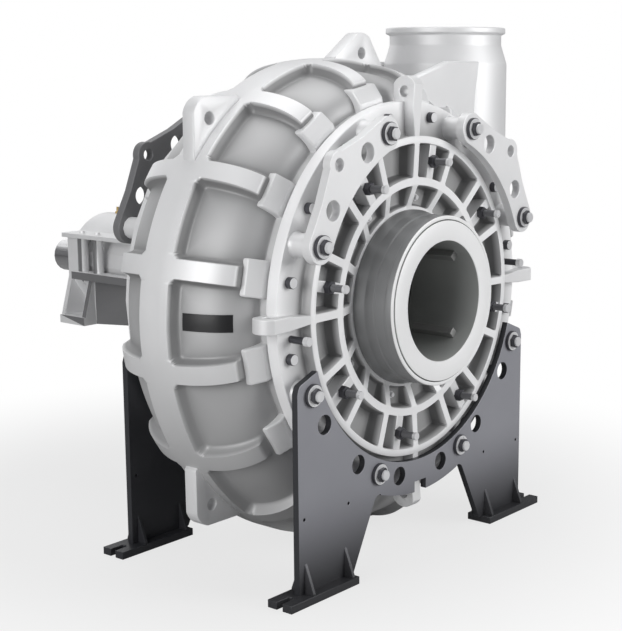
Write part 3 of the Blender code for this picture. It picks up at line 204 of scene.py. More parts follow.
# legShade is the leg paint darkened as painted shade, for the rear legs and the legs' cut edges
legShade = castFinish("legShade", dict(
    colour=(0.036, 0.037, 0.042), spread=0.06, cloud=2.5, grain=260.0, rough=0.36, roughSpread=0.08,
    metal=0.25, bump=0.06, depth=0.0006))
castShade = castFinish("castShade", dict(
    colour=(0.20, 0.20, 0.205), spread=0.06, cloud=2.5, grain=180.0, rough=0.42, roughSpread=0.10,
    metal=0.30, bump=0.10, depth=0.0012))
threadSteel = castFinish("threadSteel", dict(
    colour=(0.22, 0.22, 0.23), spread=0.08, cloud=30.0, grain=400.0, rough=0.32, roughSpread=0.10,
    metal=0.60, bump=0.06, depth=0.0004))
boreDark = castFinish("boreDark", dict(
    colour=(0.40, 0.41, 0.40), spread=0.10, cloud=4.0, grain=150.0, rough=0.45, roughSpread=0.12,
    metal=0.2, bump=0.15, depth=0.0015))
plateBlack = castFinish("plateCharcoal", dict(
    colour=(0.012, 0.012, 0.013), spread=0.10, cloud=30.0, grain=500.0, rough=0.30, roughSpread=0.06,
    metal=0.0, bump=0.04, depth=0.0002))
# painted shade and dark reflection for the sides of washers, nuts, bolt heads and jack rods; their lit
# faces and ends get the bright bolt steel
boltSideShade = castFinish("boltSideShade", dict(
    colour=(0.085, 0.085, 0.095), spread=0.10, cloud=30.0, grain=400.0, rough=0.38, roughSpread=0.10,
    metal=0.6, bump=0.10, depth=0.0005))
for subpart in frame["record"]["subparts"]:
    shown = frame["nodes"][subpart["node"]]
    shown.data.materials.clear()
    shown.data.materials.append(finishes[subpart["material_slot"]])
print("finishes made")


# Mesh helpers

meshing = dict(merge=0.00002, cadMerge=0.00005, plateSharp=20.0, plateRim=40.0, shapeRim=35.0)


def linked(mesh, finish):
    made = bpy.data.objects.new(mesh.name, mesh)
    bpy.context.scene.collection.objects.link(made)
    for one in finish if isinstance(finish, list) else [finish]:
        mesh.materials.append(one)
    return made


def shaded(mesh, sharp):
    mesh.shade_smooth()
    mesh.set_sharp_from_angle(angle=math.radians(sharp))


def finishMesh(mesh, finish, sharp):
    bm = bmesh.new()
    bm.from_mesh(mesh)
    bmesh.ops.remove_doubles(bm, verts=bm.verts, dist=meshing["merge"])
    bmesh.ops.recalc_face_normals(bm, faces=bm.faces)
    bm.to_mesh(mesh)
    bm.free()
    shaded(mesh, sharp)
    return linked(mesh, finish)


def loadMesh(name, points, quads, finish, sharp=32.0, relief=None):
    # points measured from the suction face, quads that number them, and a painted shading value (painted
    # light and shade) for each
    mesh = bpy.data.meshes.new(name)
    points = np.asarray(points, np.float32).reshape(-1, 3) + pump.astype(np.float32)
    quads = np.asarray(quads, np.int32)
    mesh.vertices.add(len(points))
    mesh.vertices.foreach_set("co", points.ravel())
    mesh.loops.add(quads.size)
    mesh.loops.foreach_set("vertex_index", quads.ravel())
    mesh.polygons.add(len(quads))
    mesh.polygons.foreach_set("loop_start", np.arange(len(quads), dtype=np.int32) * quads.shape[1])
    mesh.update(calc_edges=True)
    if relief is not None:
        mesh.attributes.new("relief", "FLOAT", "POINT").data.foreach_set(
            "value", np.asarray(relief, np.float32).ravel())
    return finishMesh(mesh, finish, sharp)


def placed(piece, body, slotName, *nodes):
    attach(piece, body)
    if nodes:
        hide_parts(*nodes)
    return piece


def gridQuads(rows, columns, wrapColumns=True, wrapRows=False):
    # each point with its right, upper right and upper neighbour
    row = np.arange(rows if wrapRows else rows - 1)[:, None]
    column = np.arange(columns if wrapColumns else columns - 1)[None, :]
    nextRow, nextColumn = (row + 1) % rows, (column + 1) % columns
    corners = (row * columns + column, row * columns + nextColumn,
               nextRow * columns + nextColumn, nextRow * columns + column)
    return np.stack([corner.ravel() for corner in corners], axis=1)


def easeRim(bm, edge, angle, segments=2):
    rim = [one for one in bm.edges if one.is_manifold and one.calc_face_angle(0) > math.radians(angle)]
    bmesh.ops.bevel(bm, geom=rim, offset=edge, segments=segments, profile=0.5, affect="EDGES",
                    clamp_overlap=True)


def rounded(profile, radii, steps=5):
    # each inner corner becomes an arc that meets both of its edges tangentially: its centre lies on the
    # corner's bisector, radius / sin(half the corner's angle) away
    points = np.asarray(profile, float)
    out = [points[:1]]
    for before, corner, after, radius in zip(points, points[1:], points[2:], radii):
        back, ahead = before - corner, after - corner
        room = min(np.linalg.norm(back), np.linalg.norm(ahead)) * 0.49
        back, ahead = back / np.linalg.norm(back), ahead / np.linalg.norm(ahead)
        half = np.arccos(np.clip(back @ ahead, -1, 1)) / 2
        if radius <= 0 or half > 1.5:                 # left sharp, or almost straight
            out.append(corner[None])
            continue
        reach = min(radius / np.tan(half), room)
        away = reach * np.tan(half) / np.sin(half)
        centre = corner + (back + ahead) / np.linalg.norm(back + ahead) * away
        start, end = corner + back * reach - centre, corner + ahead * reach - centre
        turn = np.arctan2(start[0] * end[1] - start[1] * end[0], start @ end)
        t = np.linspace(0, turn, steps)[:, None]
        out.append(centre + start * np.cos(t) + np.array([-start[1], start[0]]) * np.sin(t))
    out.append(points[-1:])
    return np.concatenate(out)


def spunGrid(profile, sides, axis="y", centre=(0.0, 0.0, 0.0)):
    # point(k, turn) = centre + radius k around the axis + height k along it
    radius, height = np.asarray(profile, float).T
    turn = np.linspace(0, 2 * np.pi, sides, endpoint=False)
    x, z = radius[:, None] * np.cos(turn), radius[:, None] * np.sin(turn)
    y = np.broadcast_to(height[:, None], x.shape)
    return np.stack([x, y, z] if axis == "y" else [x, -z, y], axis=-1) + np.asarray(centre, float)


def spunPiece(name, profile, finish, sharp, sides=160):
    quads = gridQuads(len(profile), sides, wrapRows=True)
    return loadMesh(name, spunGrid(profile, sides), quads, finish, sharp)


def polar(radius, y, turn):
    # point = (radius cos(turn), y, radius sin(turn)), the turn going from +X towards +Z
    return np.stack(np.broadcast_arrays(radius * np.cos(turn), y, radius * np.sin(turn)), axis=-1)


def swing(points, degrees):
    # turned about the pump's axis, (x, z) to (x cos - z sin, x sin + z cos)
    t = np.radians(degrees)
    out = np.array(points, float)
    out[..., 0] = points[..., 0] * np.cos(t) - points[..., 2] * np.sin(t)
    out[..., 2] = points[..., 0] * np.sin(t) + points[..., 2] * np.cos(t)
    return out


def outlineArc(x, y, radius, start, end, steps):
    # point(t) = centre + radius (cos(t), sin(t)), t from start to end in degrees
    t = np.radians(np.linspace(start, end, steps + 1))
    return np.stack([x + radius * np.cos(t), y + radius * np.sin(t)], axis=1)


def hole(x, y, radius, sides):
    # a whole turn of outlineArc without its doubled last point
    return outlineArc(x, y, radius, 0, 360, sides)[:-1]


def platePiece(name, loops, y, thickness, finish, edge, place=None, segments=2):
    # flat loops, holes after the outline, filled, given thickness along +Y, their edges rounded, and
    # then set in space by place(points)
    corners, edges = np.concatenate([np.asarray(loop, float) for loop in loops]), []
    for loop in loops:
        ring = len(edges) + np.arange(len(loop))
        edges.extend(zip(ring.tolist(), np.roll(ring, -1).tolist()))
    mesh = bpy.data.meshes.new(name)
    mesh.from_pydata(np.insert(corners, 1, y, axis=1).tolist(), edges, [])
    bm = bmesh.new()
    bm.from_mesh(mesh)
    bmesh.ops.triangle_fill(bm, use_beauty=True, edges=bm.edges[:])
    grown = bmesh.ops.extrude_face_region(bm, geom=bm.faces[:])
    bmesh.ops.translate(bm, vec=(0, thickness, 0),
                        verts=[one for one in grown["geom"] if isinstance(one, bmesh.types.BMVert)])
    bmesh.ops.recalc_face_normals(bm, faces=bm.faces)
    bmesh.ops.dissolve_limit(bm, angle_limit=0.01, verts=bm.verts, edges=bm.edges)
    easeRim(bm, edge, meshing["plateRim"], segments)
    bm.to_mesh(mesh)
    bm.free()
    spots = np.empty(len(mesh.vertices) * 3, np.float32)
    mesh.vertices.foreach_get("co", spots)
    spots = spots.reshape(-1, 3).astype(float)
    spots = (place(spots) if place else spots) + pump
    mesh.vertices.foreach_set("co", spots.astype(np.float32).ravel())
    return finishMesh(mesh, finish, meshing["plateSharp"])


def perFace(piece, value):
    found = np.empty(len(piece.data.polygons) * 3, np.float32)
    piece.data.polygons.foreach_get(value, found)
    return found.reshape(-1, 3)


def secondFinish(piece, chosen):
    piece.data.polygons.foreach_set("material_index", chosen.astype(np.int32))


# Bays between ribs or spokes, for the casing and the cover

def bayColumns(near, fill, count, first):
    # columns past each rib, from bay middle to bay middle: metres from the rib's middle line, and
    # beyond the last of those, shares of what is left of the half bay
    metres = np.concatenate([near, np.full(fill, near[-1])])
    shares = np.concatenate([np.zeros(len(near)), np.linspace(0, 1, fill + 1)[1:]])
    metres, shares = (np.concatenate([-half[::-1][:-1], half])[:-1] for half in (metres, shares))
    ribs = np.repeat(360.0 / count * (np.arange(count) + first), len(metres))
    return ribs[None], np.tile(metres, count)[None], np.tile(shares, count)[None]


def turnFrom(ribs, angle):
    # size of the turn from each rib, in radians
    return np.abs(np.radians((angle - ribs + 180.0) % 360.0 - 180.0))


def bayDistance(first, second, corner):
    # distance to the nearer of two walls, with a round corner between them
    cornered = corner - np.hypot(corner - first, corner - second)
    return np.where((first < corner) & (second < corner), cornered, np.minimum(first, second))


# Volute casing

casing = dict(
    middle=0.858, width=1.018, faceRadius=1.116, openingRadius=0.905, shoulder=0.053, power=2.3,
    stations=((50.0, 1.272), (180.0, 1.403), (270.0, 1.450), (360.0, 1.584)), tongue=50.0,
    ribs=16, ribHalf=0.051, ribRise=0.0645, ribSpread=0.35, ribSpreadFoot=0.9, footRise=0.034,
    spineHalf=0.100, corner=0.050, wall=0.040, sideWall=0.032, wallPower=2.2, wallChange=0.05,
    ribEnd=0.425, ribEndFade=0.008, wallThick=0.070, mouth=0.82, wallBend=0.75)
# the grid's rows are shares of the section's turn, its columns metres from a rib's middle line
casingRows = dict(turns=((0.02, 0.40, 18), (0.44, 0.80, 10), (0.83, 1.0, 17)), spine=4,
                  onRib=(0.0, 0.030, 0.046), besideRib=(0.051, 0.140, 14), acrossBay=5)
# painted light and shade for the finish: 1 is bright as if lit, the walls are darkest as painted shade, and
# the bays lighten away from them; the inner walls are painted in shade too
casingPaintedShade = dict(crest=1.0, crestFrom=0.9, wall=0.10, wallFrom=0.02, bay=0.50, bayFoot=0.34, fade=0.05,
                  face=0.75, hidden=0.3)


def crownRadius(angle):
    # shell radius on the middle plane: straight lines between stations, and inside the
    # discharge branch a smooth fall back to the tongue
    spots, radii = np.array(casing["stations"]).T
    share = np.clip(angle / casing["tongue"], 0, 1)
    fall = share * share * (3 - 2 * share)
    inside = radii[-1] + (radii[0] - radii[-1]) * fall
    return np.where(angle >= casing["tongue"], np.interp(angle, spots, radii), inside)


def casingGrid():
    # point(angle, meridian) = shell + height(distance to the nearest rib or spine) * rise, the shell's
    # section being offset = half cos(t) ** (2 / power), radius = low + (crown - low) sin(t) ** (2 / power)
    half, power = casing["width"] / 2 - casing["shoulder"], 2 / casing["power"]
    last = math.acos((casing["spineHalf"] / half) ** (casing["power"] / 2))
    turns = last * np.concatenate([np.linspace(*rows) for rows in casingRows["turns"]])
    spineRows = np.linspace(1, 0, casingRows["spine"])[1:, None]
    spine = slice(3 + len(turns), None)               # rows 0 to 2 are the face ring and the shoulder
    rise = np.concatenate([[0, 0, 0], np.sin(turns) ** power, [np.sin(last) ** power] * len(spineRows)])

    def radiusAt(angle, foot, lift):
        low, shape = casing["faceRadius"] + foot, (len(rise), angle.shape[1])
        top = np.broadcast_to(crownRadius(angle % 360.0) + lift, shape)
        radius = low + (top - low) * rise[:, None]
        radius[0] = casing["openingRadius"]
        radius[spine] = top[spine] if lift else radius[spine] + (top[spine] - radius[spine]) * (
            1 - spineRows ** 2)
        return radius

    def offsetAt(spread):
        return np.concatenate([[casing["width"] / 2] * 2, [half + spread * casing["ribSpreadFoot"]],
                               (half + spread) * np.cos(turns) ** power,
                               casing["spineHalf"] * spineRows[:, 0]])[:, None]

    levels = ((0.0, 0.0), (casing["footRise"], casing["ribRise"]))
    near = np.concatenate([casingRows["onRib"], np.linspace(*casingRows["besideRib"])])
    ribs, metre, share = bayColumns(near, casingRows["acrossBay"], casing["ribs"], 0.5)
    mean = sum(radiusAt(ribs, *level) for level in levels) / 2
    angle = ribs + np.degrees(metre / mean) + share * (180.0 / casing["ribs"] - np.degrees(near[-1] / mean))
    shell, raised = (radiusAt(angle, *level) for level in levels)
    offShell, offRaised = (np.broadcast_to(offsetAt(spread), shell.shape)
                           for spread in (0.0, casing["ribRise"] * casing["ribSpread"]))

    steps = np.hypot(np.diff(offShell, axis=0), np.diff(shell, axis=0))
    along = np.concatenate([np.zeros((1, steps.shape[1])), np.cumsum(steps, axis=0)])
    fromSpine = along[spine.start - 1] - along
    fromRib = turnFrom(ribs, angle) * mean - casing["ribHalf"]
    inside = bayDistance(fromRib, fromSpine, casing["corner"])
    side = np.clip((fromSpine - fromRib) / casing["wallChange"] + 0.5, 0, 1)
    width = casing["wall"] * (1 - side) + casing["sideWall"] * side
    height = (1 - np.clip(inside / width, 0, 1)) ** casing["wallPower"]
    height *= np.clip((casing["ribEnd"] - offShell) / casing["ribEndFade"], 0, 1)
    height[0] = 0
    # painted shade at each wall's foot, painted light on the crests and painted shade on the walls
    bay = casingPaintedShade["bay"] - casingPaintedShade["bayFoot"] * np.exp(
        -np.clip(inside - width, 0, None) / casingPaintedShade["fade"])
    paintedShade = np.where(height > casingPaintedShade["crestFrom"], casingPaintedShade["crest"],
                    np.where(height > casingPaintedShade["wallFrom"], casingPaintedShade["wall"], bay))
    paintedShade[:3] = casingPaintedShade["face"]

    offset = offShell + (offRaised - offShell) * height
    radius = shell + (raised - shell) * height
    turn = np.radians(angle)
    front = polar(radius, casing["middle"] - offset, turn)
    rear = polar(radius, casing["middle"] + offset, turn)[-2::-1]
    # five rings of the inner walls, back from the rear opening to the front one: a share of the way
    # from the opening to the crown, and an offset from the middle plane
    opening, deep = casing["openingRadius"], half - casing["wallThick"]
    top = crownRadius(angle[-1] % 360.0) - casing["wallThick"]
    shares = np.array([0, casing["wallBend"], 1, casing["wallBend"], 0])[:, None]
    mouth = casing["width"] / 2 * casing["mouth"]
    ringOffsets = np.array([mouth, deep, 0, -deep, -mouth])[:, None]
    inner = polar(opening + (top - opening) * shares, casing["middle"] + ringOffsets, turn[-1])
    hidden = np.full(inner.shape[:2], casingPaintedShade["hidden"])
    return np.concatenate([front, rear, inner]), np.concatenate([paintedShade, paintedShade[-2::-1], hidden])


shellGrid, shellPaintedShade = casingGrid()
casingShell = loadMesh("casingShell", shellGrid, gridQuads(*shellGrid.shape[:2], wrapRows=True),
                       castPockets, 50.0, relief=shellPaintedShade)
placed(casingShell, "pump_body", "cast_steel", "volute_casing")
print("casing", len(casingShell.data.polygons))

branch = dict(x=1.179, bore=0.325, depth=0.9, radius=0.405, top=1.350, neckRadius=0.368, neckZ=1.470,
              rimRadius=0.394, rimThick=0.036, rimSlope=0.012, face=1.5814, foot=-0.01, innerFoot=0.72,
              innerReach=-0.20, outerReach=0.10, edges=(0.008, 0.010, 0.010, 0.010, 0.06, 0.06))
underRim = branch["face"] - branch["rimThick"]
branchProfile = rounded(
    [(branch["bore"], branch["face"] - branch["depth"]), (branch["bore"], branch["face"]),
     (branch["rimRadius"], branch["face"]), (branch["rimRadius"], underRim),
     (branch["neckRadius"], underRim - branch["rimSlope"]), (branch["neckRadius"], branch["neckZ"]),
     (branch["radius"], branch["top"]), (branch["radius"], branch["foot"])],
    branch["edges"], 7)
branchGrid = spunGrid(branchProfile, 128, "z", (branch["x"], casing["middle"], 0))
# the inner half stops above the impeller, the outer half runs down to the casing's widest side
branchGrid[-1, :, 2] = np.interp(
    branchGrid[-1, :, 0], [branch["x"] + branch["innerReach"], branch["x"] + branch["outerReach"]],
    [branch["innerFoot"], branch["foot"]])
branchBarrel = loadMesh("branchBarrel", branchGrid, gridQuads(*branchGrid.shape[:2], wrapRows=True),
                        finishes["cast_steel"])
placed(branchBarrel, "pump_body", "cast_steel")

lug = dict(angles=(80.0, 135.0, 225.0), thick=0.090, base=0.480, rise=0.192, tip=0.122, hole=0.035,
           sunk=0.004, root=0.07, edge=0.008)
for k, angle in enumerate(lug["angles"]):
    root = float(crownRadius(np.array(angle))) + casing["ribRise"] - lug["sunk"]
    tip, halfBase = root + lug["rise"] - lug["tip"], lug["base"] / 2
    lean = math.degrees(math.atan2(halfBase - lug["tip"], tip - root))
    outline = np.concatenate([[(root - lug["root"], -halfBase), (root, -halfBase)],
                              outlineArc(tip, 0, lug["tip"], -90 + lean, 90 - lean, 18),
                              [(root, halfBase), (root - lug["root"], halfBase)]])
    piece = platePiece(f"casingLug{k + 1}", [outline, hole(tip, 0, lug["hole"], 28)],
                       casing["middle"] - lug["thick"] / 2, lug["thick"], finishes["cast_steel"],
                       lug["edge"], lambda spots, a=angle: swing(spots, a), 3)
    placed(piece, "pump_body", "cast_steel")
print("branch and lugs")


# Suction cover

cover = dict(
    flangeRadius=1.134, back=0.3472, face=0.2697, front=0.2027, floor=0.3077, ringRadius=0.940,
    ringWidth=0.042, midRadius=0.700, midWidth=0.045, midSet=0.012, hubSet=0.062, hubRadius=0.502,
    hubWidth=0.028, spokes=16, spokeHalf=0.0225, wall=0.020, wallPower=2.4, corner=0.022, hubBay=0.7,
    edge=0.006, hubEdge=0.004, fillet=0.012)
# columns in metres from a spoke's middle line
coverColumns = dict(onSpoke=(0.0, 0.018), besideSpoke=(0.0225, 0.062, 9), acrossBay=8)
# rows of the inner and the outer bays: width of the close stretch, its rows, and those between
coverRows = dict(innerBays=(0.03, 5, 4), outerBays=(0.035, 7, 8))
# painted light and shade for the finish: spoke tops bright as if lit and the flange's outer edge as a
# painted highlight, walls darkest, floors and the flange face darker as painted shade
coverPaintedShade = dict(crest=1.0, crestTo=0.02, wall=0.05, wallTo=0.98, floor=0.26, flange=0.32, rim=1.0,
                 rimWidth=0.008)


def denseEnds(start, end, edge, fine, coarse):
    # rows close together over the first and the last edge of the stretch
    return np.concatenate([np.linspace(start, start + edge, fine, endpoint=False),
                           np.linspace(start + edge, end - edge, coarse, endpoint=False),
                           np.linspace(end - edge, end, fine, endpoint=False)])


def coverGrid():
    # point(angle, radius) = front face pushed back by depth(distance to the nearest spoke or ring)
    hub, mid, ring, edge = cover["hubRadius"], cover["midRadius"], cover["ringRadius"], cover["edge"]
    hubOut, midIn, ringIn = hub + cover["hubWidth"], mid - cover["midWidth"], ring - cover["ringWidth"]
    hubFace, midFace = cover["front"] + cover["hubSet"], cover["front"] + cover["midSet"]
    radii = np.concatenate([
        [hub, hub + cover["hubEdge"]], denseEnds(hubOut, midIn, *coverRows["innerBays"]),
        [midIn, midIn + edge, mid - edge], denseEnds(mid, ringIn, *coverRows["outerBays"]),
        [ringIn, ringIn + edge, ring - cover["hubEdge"]]])[:, None]
    face = np.interp(radii, [hub, hubOut, midIn, mid, ringIn, ring],
                     [hubFace, hubFace, midFace, midFace, cover["front"], cover["front"]])
    near = np.concatenate([coverColumns["onSpoke"], np.linspace(*coverColumns["besideSpoke"])])
    spokes, metre, share = bayColumns(near, coverColumns["acrossBay"], cover["spokes"], 0)
    halfBay = 180.0 / cover["spokes"]
    reach = np.minimum(near[-1], np.radians(halfBay) * radii * cover["hubBay"])
    metre = metre * reach / near[-1]
    angle = spokes + np.degrees(metre / radii) + share * (halfBay - np.degrees(reach / radii))
    fromSpoke = turnFrom(spokes, angle) * radii - cover["spokeHalf"]
    fromRing = np.where(radii < (midIn + mid) / 2, np.minimum(radii - hubOut, midIn - radii),
                        np.minimum(radii - mid, ringIn - radii))
    inside = bayDistance(fromSpoke, fromRing, cover["corner"])
    depth = 1 - (1 - np.clip(inside / cover["wall"], 0, 1)) ** cover["wallPower"]
    grid = polar(radii, face + (cover["floor"] - face) * depth, np.radians(angle))
    rim = rounded([(ring, cover["front"]), (ring, cover["face"]), (cover["flangeRadius"], cover["face"]),
                   (cover["flangeRadius"], cover["back"]), (hub, cover["back"]), (hub, hubFace)],
                  [cover["fillet"], edge, edge, 0])
    rim = np.concatenate([[(ring, cover["front"] + cover["hubEdge"])], rim[1:-1]])
    outer = polar(rim[:, :1], rim[:, 1:], np.radians(angle[-1]))
    # painted shade on the walls and floors, painted light on the spoke tops and the flange's edge
    paintedShade = np.where(depth < coverPaintedShade["crestTo"], coverPaintedShade["crest"],
                    np.where(depth < coverPaintedShade["wallTo"], coverPaintedShade["wall"], coverPaintedShade["floor"]))
    rimPaintedShade = np.where(rim[:, :1] > cover["flangeRadius"] - coverPaintedShade["rimWidth"], coverPaintedShade["rim"],
                       coverPaintedShade["flange"])
    return (np.concatenate([grid, outer]),
            np.concatenate([paintedShade, np.broadcast_to(rimPaintedShade, outer.shape[:2])]))


wheelGrid, wheelPaintedShade = coverGrid()
coverWheel = loadMesh("coverWheel", wheelGrid, gridQuads(*wheelGrid.shape[:2], wrapRows=True),
                      coverPockets, 48.0, relief=wheelPaintedShade)
placed(coverWheel, "pump_body", "cast_steel", "suction_cover")
print("cover", len(coverWheel.data.polygons))


# Shapes repeated round the axis

def stub(radius, back, front, edge=0.0, edgeDepth=None):
    # half section of a bolt or nut whose front end is chamfered by the edge
    if not edge:
        return [(0, back), (radius, back), (radius, front), (0, front)]
    return [(0, back), (radius, back), (radius, front + (edgeDepth or edge)), (radius - edge, front),
            (0, front)]


def prism(outline, depth):
    # convex outline of (radius, y), given depth across the radius and closed by a fan at both ends
    flat = np.asarray(outline, float)
    middle = flat.mean(axis=0)
    rows = []
    for share, across in ((0, -0.5), (1, -0.5), (1, 0.5), (0, 0.5)):
        loop = middle + (flat - middle) * share
        rows.append(np.insert(loop, 2, across * depth, axis=1))
    return np.array(rows), gridQuads(4, len(flat))


def around(name, shape, spots, finish, sharp=32.0, edge=0.0):
    # shape made for 0 degrees on the front side, set at each (angle, rear), rear being mirrored
    points, quads = shape[0].reshape(-1, 3), shape[1]
    sets = np.array([swing(points, angle) for angle, rear in spots])
    behind = np.array([rear for angle, rear in spots])
    sets[behind, :, 1] = 2 * casing["middle"] - sets[behind, :, 1]
    made = loadMesh(name, sets, np.concatenate([quads + k * len(points) for k in range(len(sets))]),
                    finish, sharp)
    if edge:
        bm = bmesh.new()
        bm.from_mesh(made.data)
        easeRim(bm, edge, meshing["shapeRim"])
        bm.to_mesh(made.data)
        bm.free()
        shaded(made.data, meshing["plateSharp"])
    return made


def fasteners(name, profile, sides, radius, spots, finish, nodes=(), body="pump_body",
              slotName="bolt_steel", sharp=32.0):
    shape = spunGrid(profile, sides, "y", (radius, 0, 0)), gridQuads(len(profile), sides)
    return placed(around(name, shape, spots, finish, sharp), body, slotName, *nodes)


def bothEnds(angles):
    return [(angle, rear) for angle in angles for rear in (False, True)]


ribAngles = [360.0 / casing["ribs"] * (k + 0.5) for k in range(casing["ribs"])]
tieAngles = [22.5 + 45.0 * k for k in range(8)]
adjusterAngles = [33.75 + 45.0 * k for k in range(8)]
adjusterSpots = [(angle, False) for angle in adjusterAngles]

boss = dict(front=0.3550, back=0.486, low=1.08, frontTop=1.160, kneeY=0.402, top=1.240, half=0.102,
            edge=0.010)
bossOutline = [(boss["low"], boss["front"]), (boss["frontTop"], boss["front"]),
               (boss["top"], boss["kneeY"]), (boss["top"], boss["back"]), (boss["low"], boss["back"])]
placed(around("casingBosses", prism(bossOutline, 2 * boss["half"]), bothEnds(ribAngles),
              finishes["cast_steel"], 32.0, boss["edge"]), "pump_body", "cast_steel")

ear = dict(root=0.925, hole=1.190, tip=0.088, pin=0.032, y=0.2697, half=0.040, waist=0.0235, back=0.3077,
           growFrom=0.955, growOver=0.13, arc=62, set=0.001, over=0.004, under=0.006, edge=0.005)
earFront = cover["front"] + ear["set"]
earOutline = np.concatenate([
    [(ear["root"], ear["back"]), (ear["root"], earFront), (ear["hole"] - ear["tip"], earFront)],
    outlineArc(ear["hole"], ear["y"], ear["tip"], -ear["arc"], ear["arc"], 14),
    [(cover["flangeRadius"] + ear["over"], cover["back"]),
     (cover["flangeRadius"] - ear["under"], cover["back"])]])


def earSpots(spots):
    # thin as a spoke at the ring, full thickness from the flange's edge to the tip
    radius, across, y = spots.T
    share = np.clip((radius - ear["growFrom"]) / ear["growOver"], 0, 1)
    half = ear["waist"] + (ear["half"] - ear["waist"]) * share * share * (3 - 2 * share)
    return np.stack([radius, y, across / ear["half"] * half], axis=1)


for k in range(4):
    piece = platePiece(f"coverEar{k + 1}", [earOutline, hole(ear["hole"], ear["y"], ear["pin"], 26)],
                       -ear["half"], 2 * ear["half"], finishes["cast_steel"], ear["edge"],
                       lambda spots, a=90.0 * k: swing(earSpots(spots), a))
    placed(piece, "pump_body", "cast_steel")

bar = dict(start=0.695, end=0.902, half=0.032, front=cover["front"] + cover["midSet"], back=0.310,
           edge=0.005)
barOutline = [(bar["start"], bar["front"]), (bar["start"], bar["back"]), (bar["end"], bar["back"]),
              (bar["end"], bar["front"])]
placed(around("coverNutBars", prism(barOutline, 2 * bar["half"]), adjusterSpots, finishes["cast_steel"],
              32.0, bar["edge"]), "pump_body", "cast_steel")

tie = dict(radius=1.048, bolt=0.031, boltEdge=0.004, nut=0.043, nutThick=0.026, nutEdge=0.005, tip=0.014,
           washer=0.064, washerThick=0.020, washerEdge=0.003, washerFace=0.060, pillar=0.064, flare=0.010,
           pillarEdge=0.004, sunk=0.002, skin=0.001, gap=0.0003, upper=0.118, lower=0.061,
           upperPlate=0.055, legPlate=0.040)


def pillarProfile(foot, seat):
    # a round pillar that flares into the flange and has a chamfer under the plate
    radius, flare, edge = tie["pillar"], tie["flare"], tie["pillarEdge"]
    return [(0, foot + edge), (radius + flare, foot + edge), (radius + flare / 5, foot - flare),
            (radius, foot - 2 * flare), (radius, seat + edge), (radius - edge, seat), (0, seat)]


for label, numbers, standoff, thick in (("Upper", (1, 2, 3, 4), tie["upper"], tie["upperPlate"]),
                                        ("Lower", (5, 6, 7, 8), tie["lower"], tie["legPlate"])):
    spots = bothEnds([tieAngles[number - 1] for number in numbers])
    nodes = [f"{place}_tie_bolt_{number}" for number in numbers for place in ("front", "rear")]
    seat = cover["face"] - standoff
    fasteners(f"pillars{label}", pillarProfile(cover["face"], seat), 40, tie["radius"], spots,
              finishes["cast_steel"], slotName="cast_steel", sharp=40.0)
    face = seat - thick - tie["gap"]                  # front of the plate, then of the washer, then the nut
    front = face - tie["washerThick"]
    # a thin bright skin on each washer's face as a painted highlight, over a washer and nut whose sides are
    # painted in shade
    fasteners(f"washerFaces{label}", stub(tie["washerFace"], front + tie["skin"], front - tie["skin"]), 40,
              tie["radius"], spots, finishes["bolt_steel"])
    fasteners(f"washers{label}", stub(tie["washer"], face, front, tie["washerEdge"]), 40, tie["radius"],
              spots, boltSideShade, nodes)
    face, front = front, front - tie["nutThick"]
    fasteners(f"nuts{label}", stub(tie["nut"], face, front, tie["nutEdge"]), 6, tie["radius"], spots,
              boltSideShade)
    face, front = front, front - tie["tip"]
    fasteners(f"boltTips{label}", stub(tie["bolt"], face + tie["sunk"], front, tie["boltEdge"]), 28,
              tie["radius"], spots, finishes["bolt_steel"])

small = dict(radius=1.056, head=0.031, rise=0.036, sunk=0.003, edge=0.002, skin=0.001)
front = cover["face"] - small["rise"]
endRadius = small["head"] - small["edge"]
# bolt heads with their sides painted in shade and a thin bright end as a painted highlight
fasteners("coverBoltHeads", stub(small["head"], cover["face"] + small["sunk"], front + small["skin"],
                                 small["edge"]), 28, small["radius"], bothEnds(ribAngles), boltSideShade)
endProfile = [(0, front + small["edge"]), (endRadius, front + small["edge"]),
              (endRadius - small["skin"], front), (0, front)]
fasteners("coverBoltEnds", endProfile, 28, small["radius"], bothEnds(ribAngles), finishes["bolt_steel"])

hubBolt = dict(radius=0.585, collar=0.022, collarRise=0.006, head=0.014, rise=0.020, sunk=0.002)
foot, collarTop = cover["floor"] + hubBolt["sunk"], cover["floor"] - hubBolt["collarRise"]
hubProfile = [(0, foot), (hubBolt["collar"], foot), (hubBolt["collar"], collarTop),
              (hubBolt["head"], collarTop), (hubBolt["head"], cover["floor"] - hubBolt["rise"]),
              (0, cover["floor"] - hubBolt["rise"])]
fasteners("hubBolts", hubProfile, 24, hubBolt["radius"], adjusterSpots, finishes["bolt_steel"])
print("cover fittings")


# Adjusters: nuts on the cover, threaded studs on the liner

adjuster = dict(radius=0.800, stud=0.021, nut=0.038, nutThick=0.034, nutEdge=0.005, nutEdgeDepth=0.004,
                sunk=0.002, reach=0.125, pitch=0.008, threadDepth=0.003, threadEnd=0.215, root=0.40,
                end=0.020, endRadius=0.024, endEdge=0.003, endOverlap=0.001)
nutProfile = stub(adjuster["nut"], bar["front"] + adjuster["sunk"], bar["front"] - adjuster["nutThick"],
                  adjuster["nutEdge"], adjuster["nutEdgeDepth"])
fasteners("adjusterNuts", nutProfile, 6, adjuster["radius"], adjusterSpots, boltSideShade)
tip = cover["front"] - adjuster["reach"]
threadStart = tip + adjuster["end"]
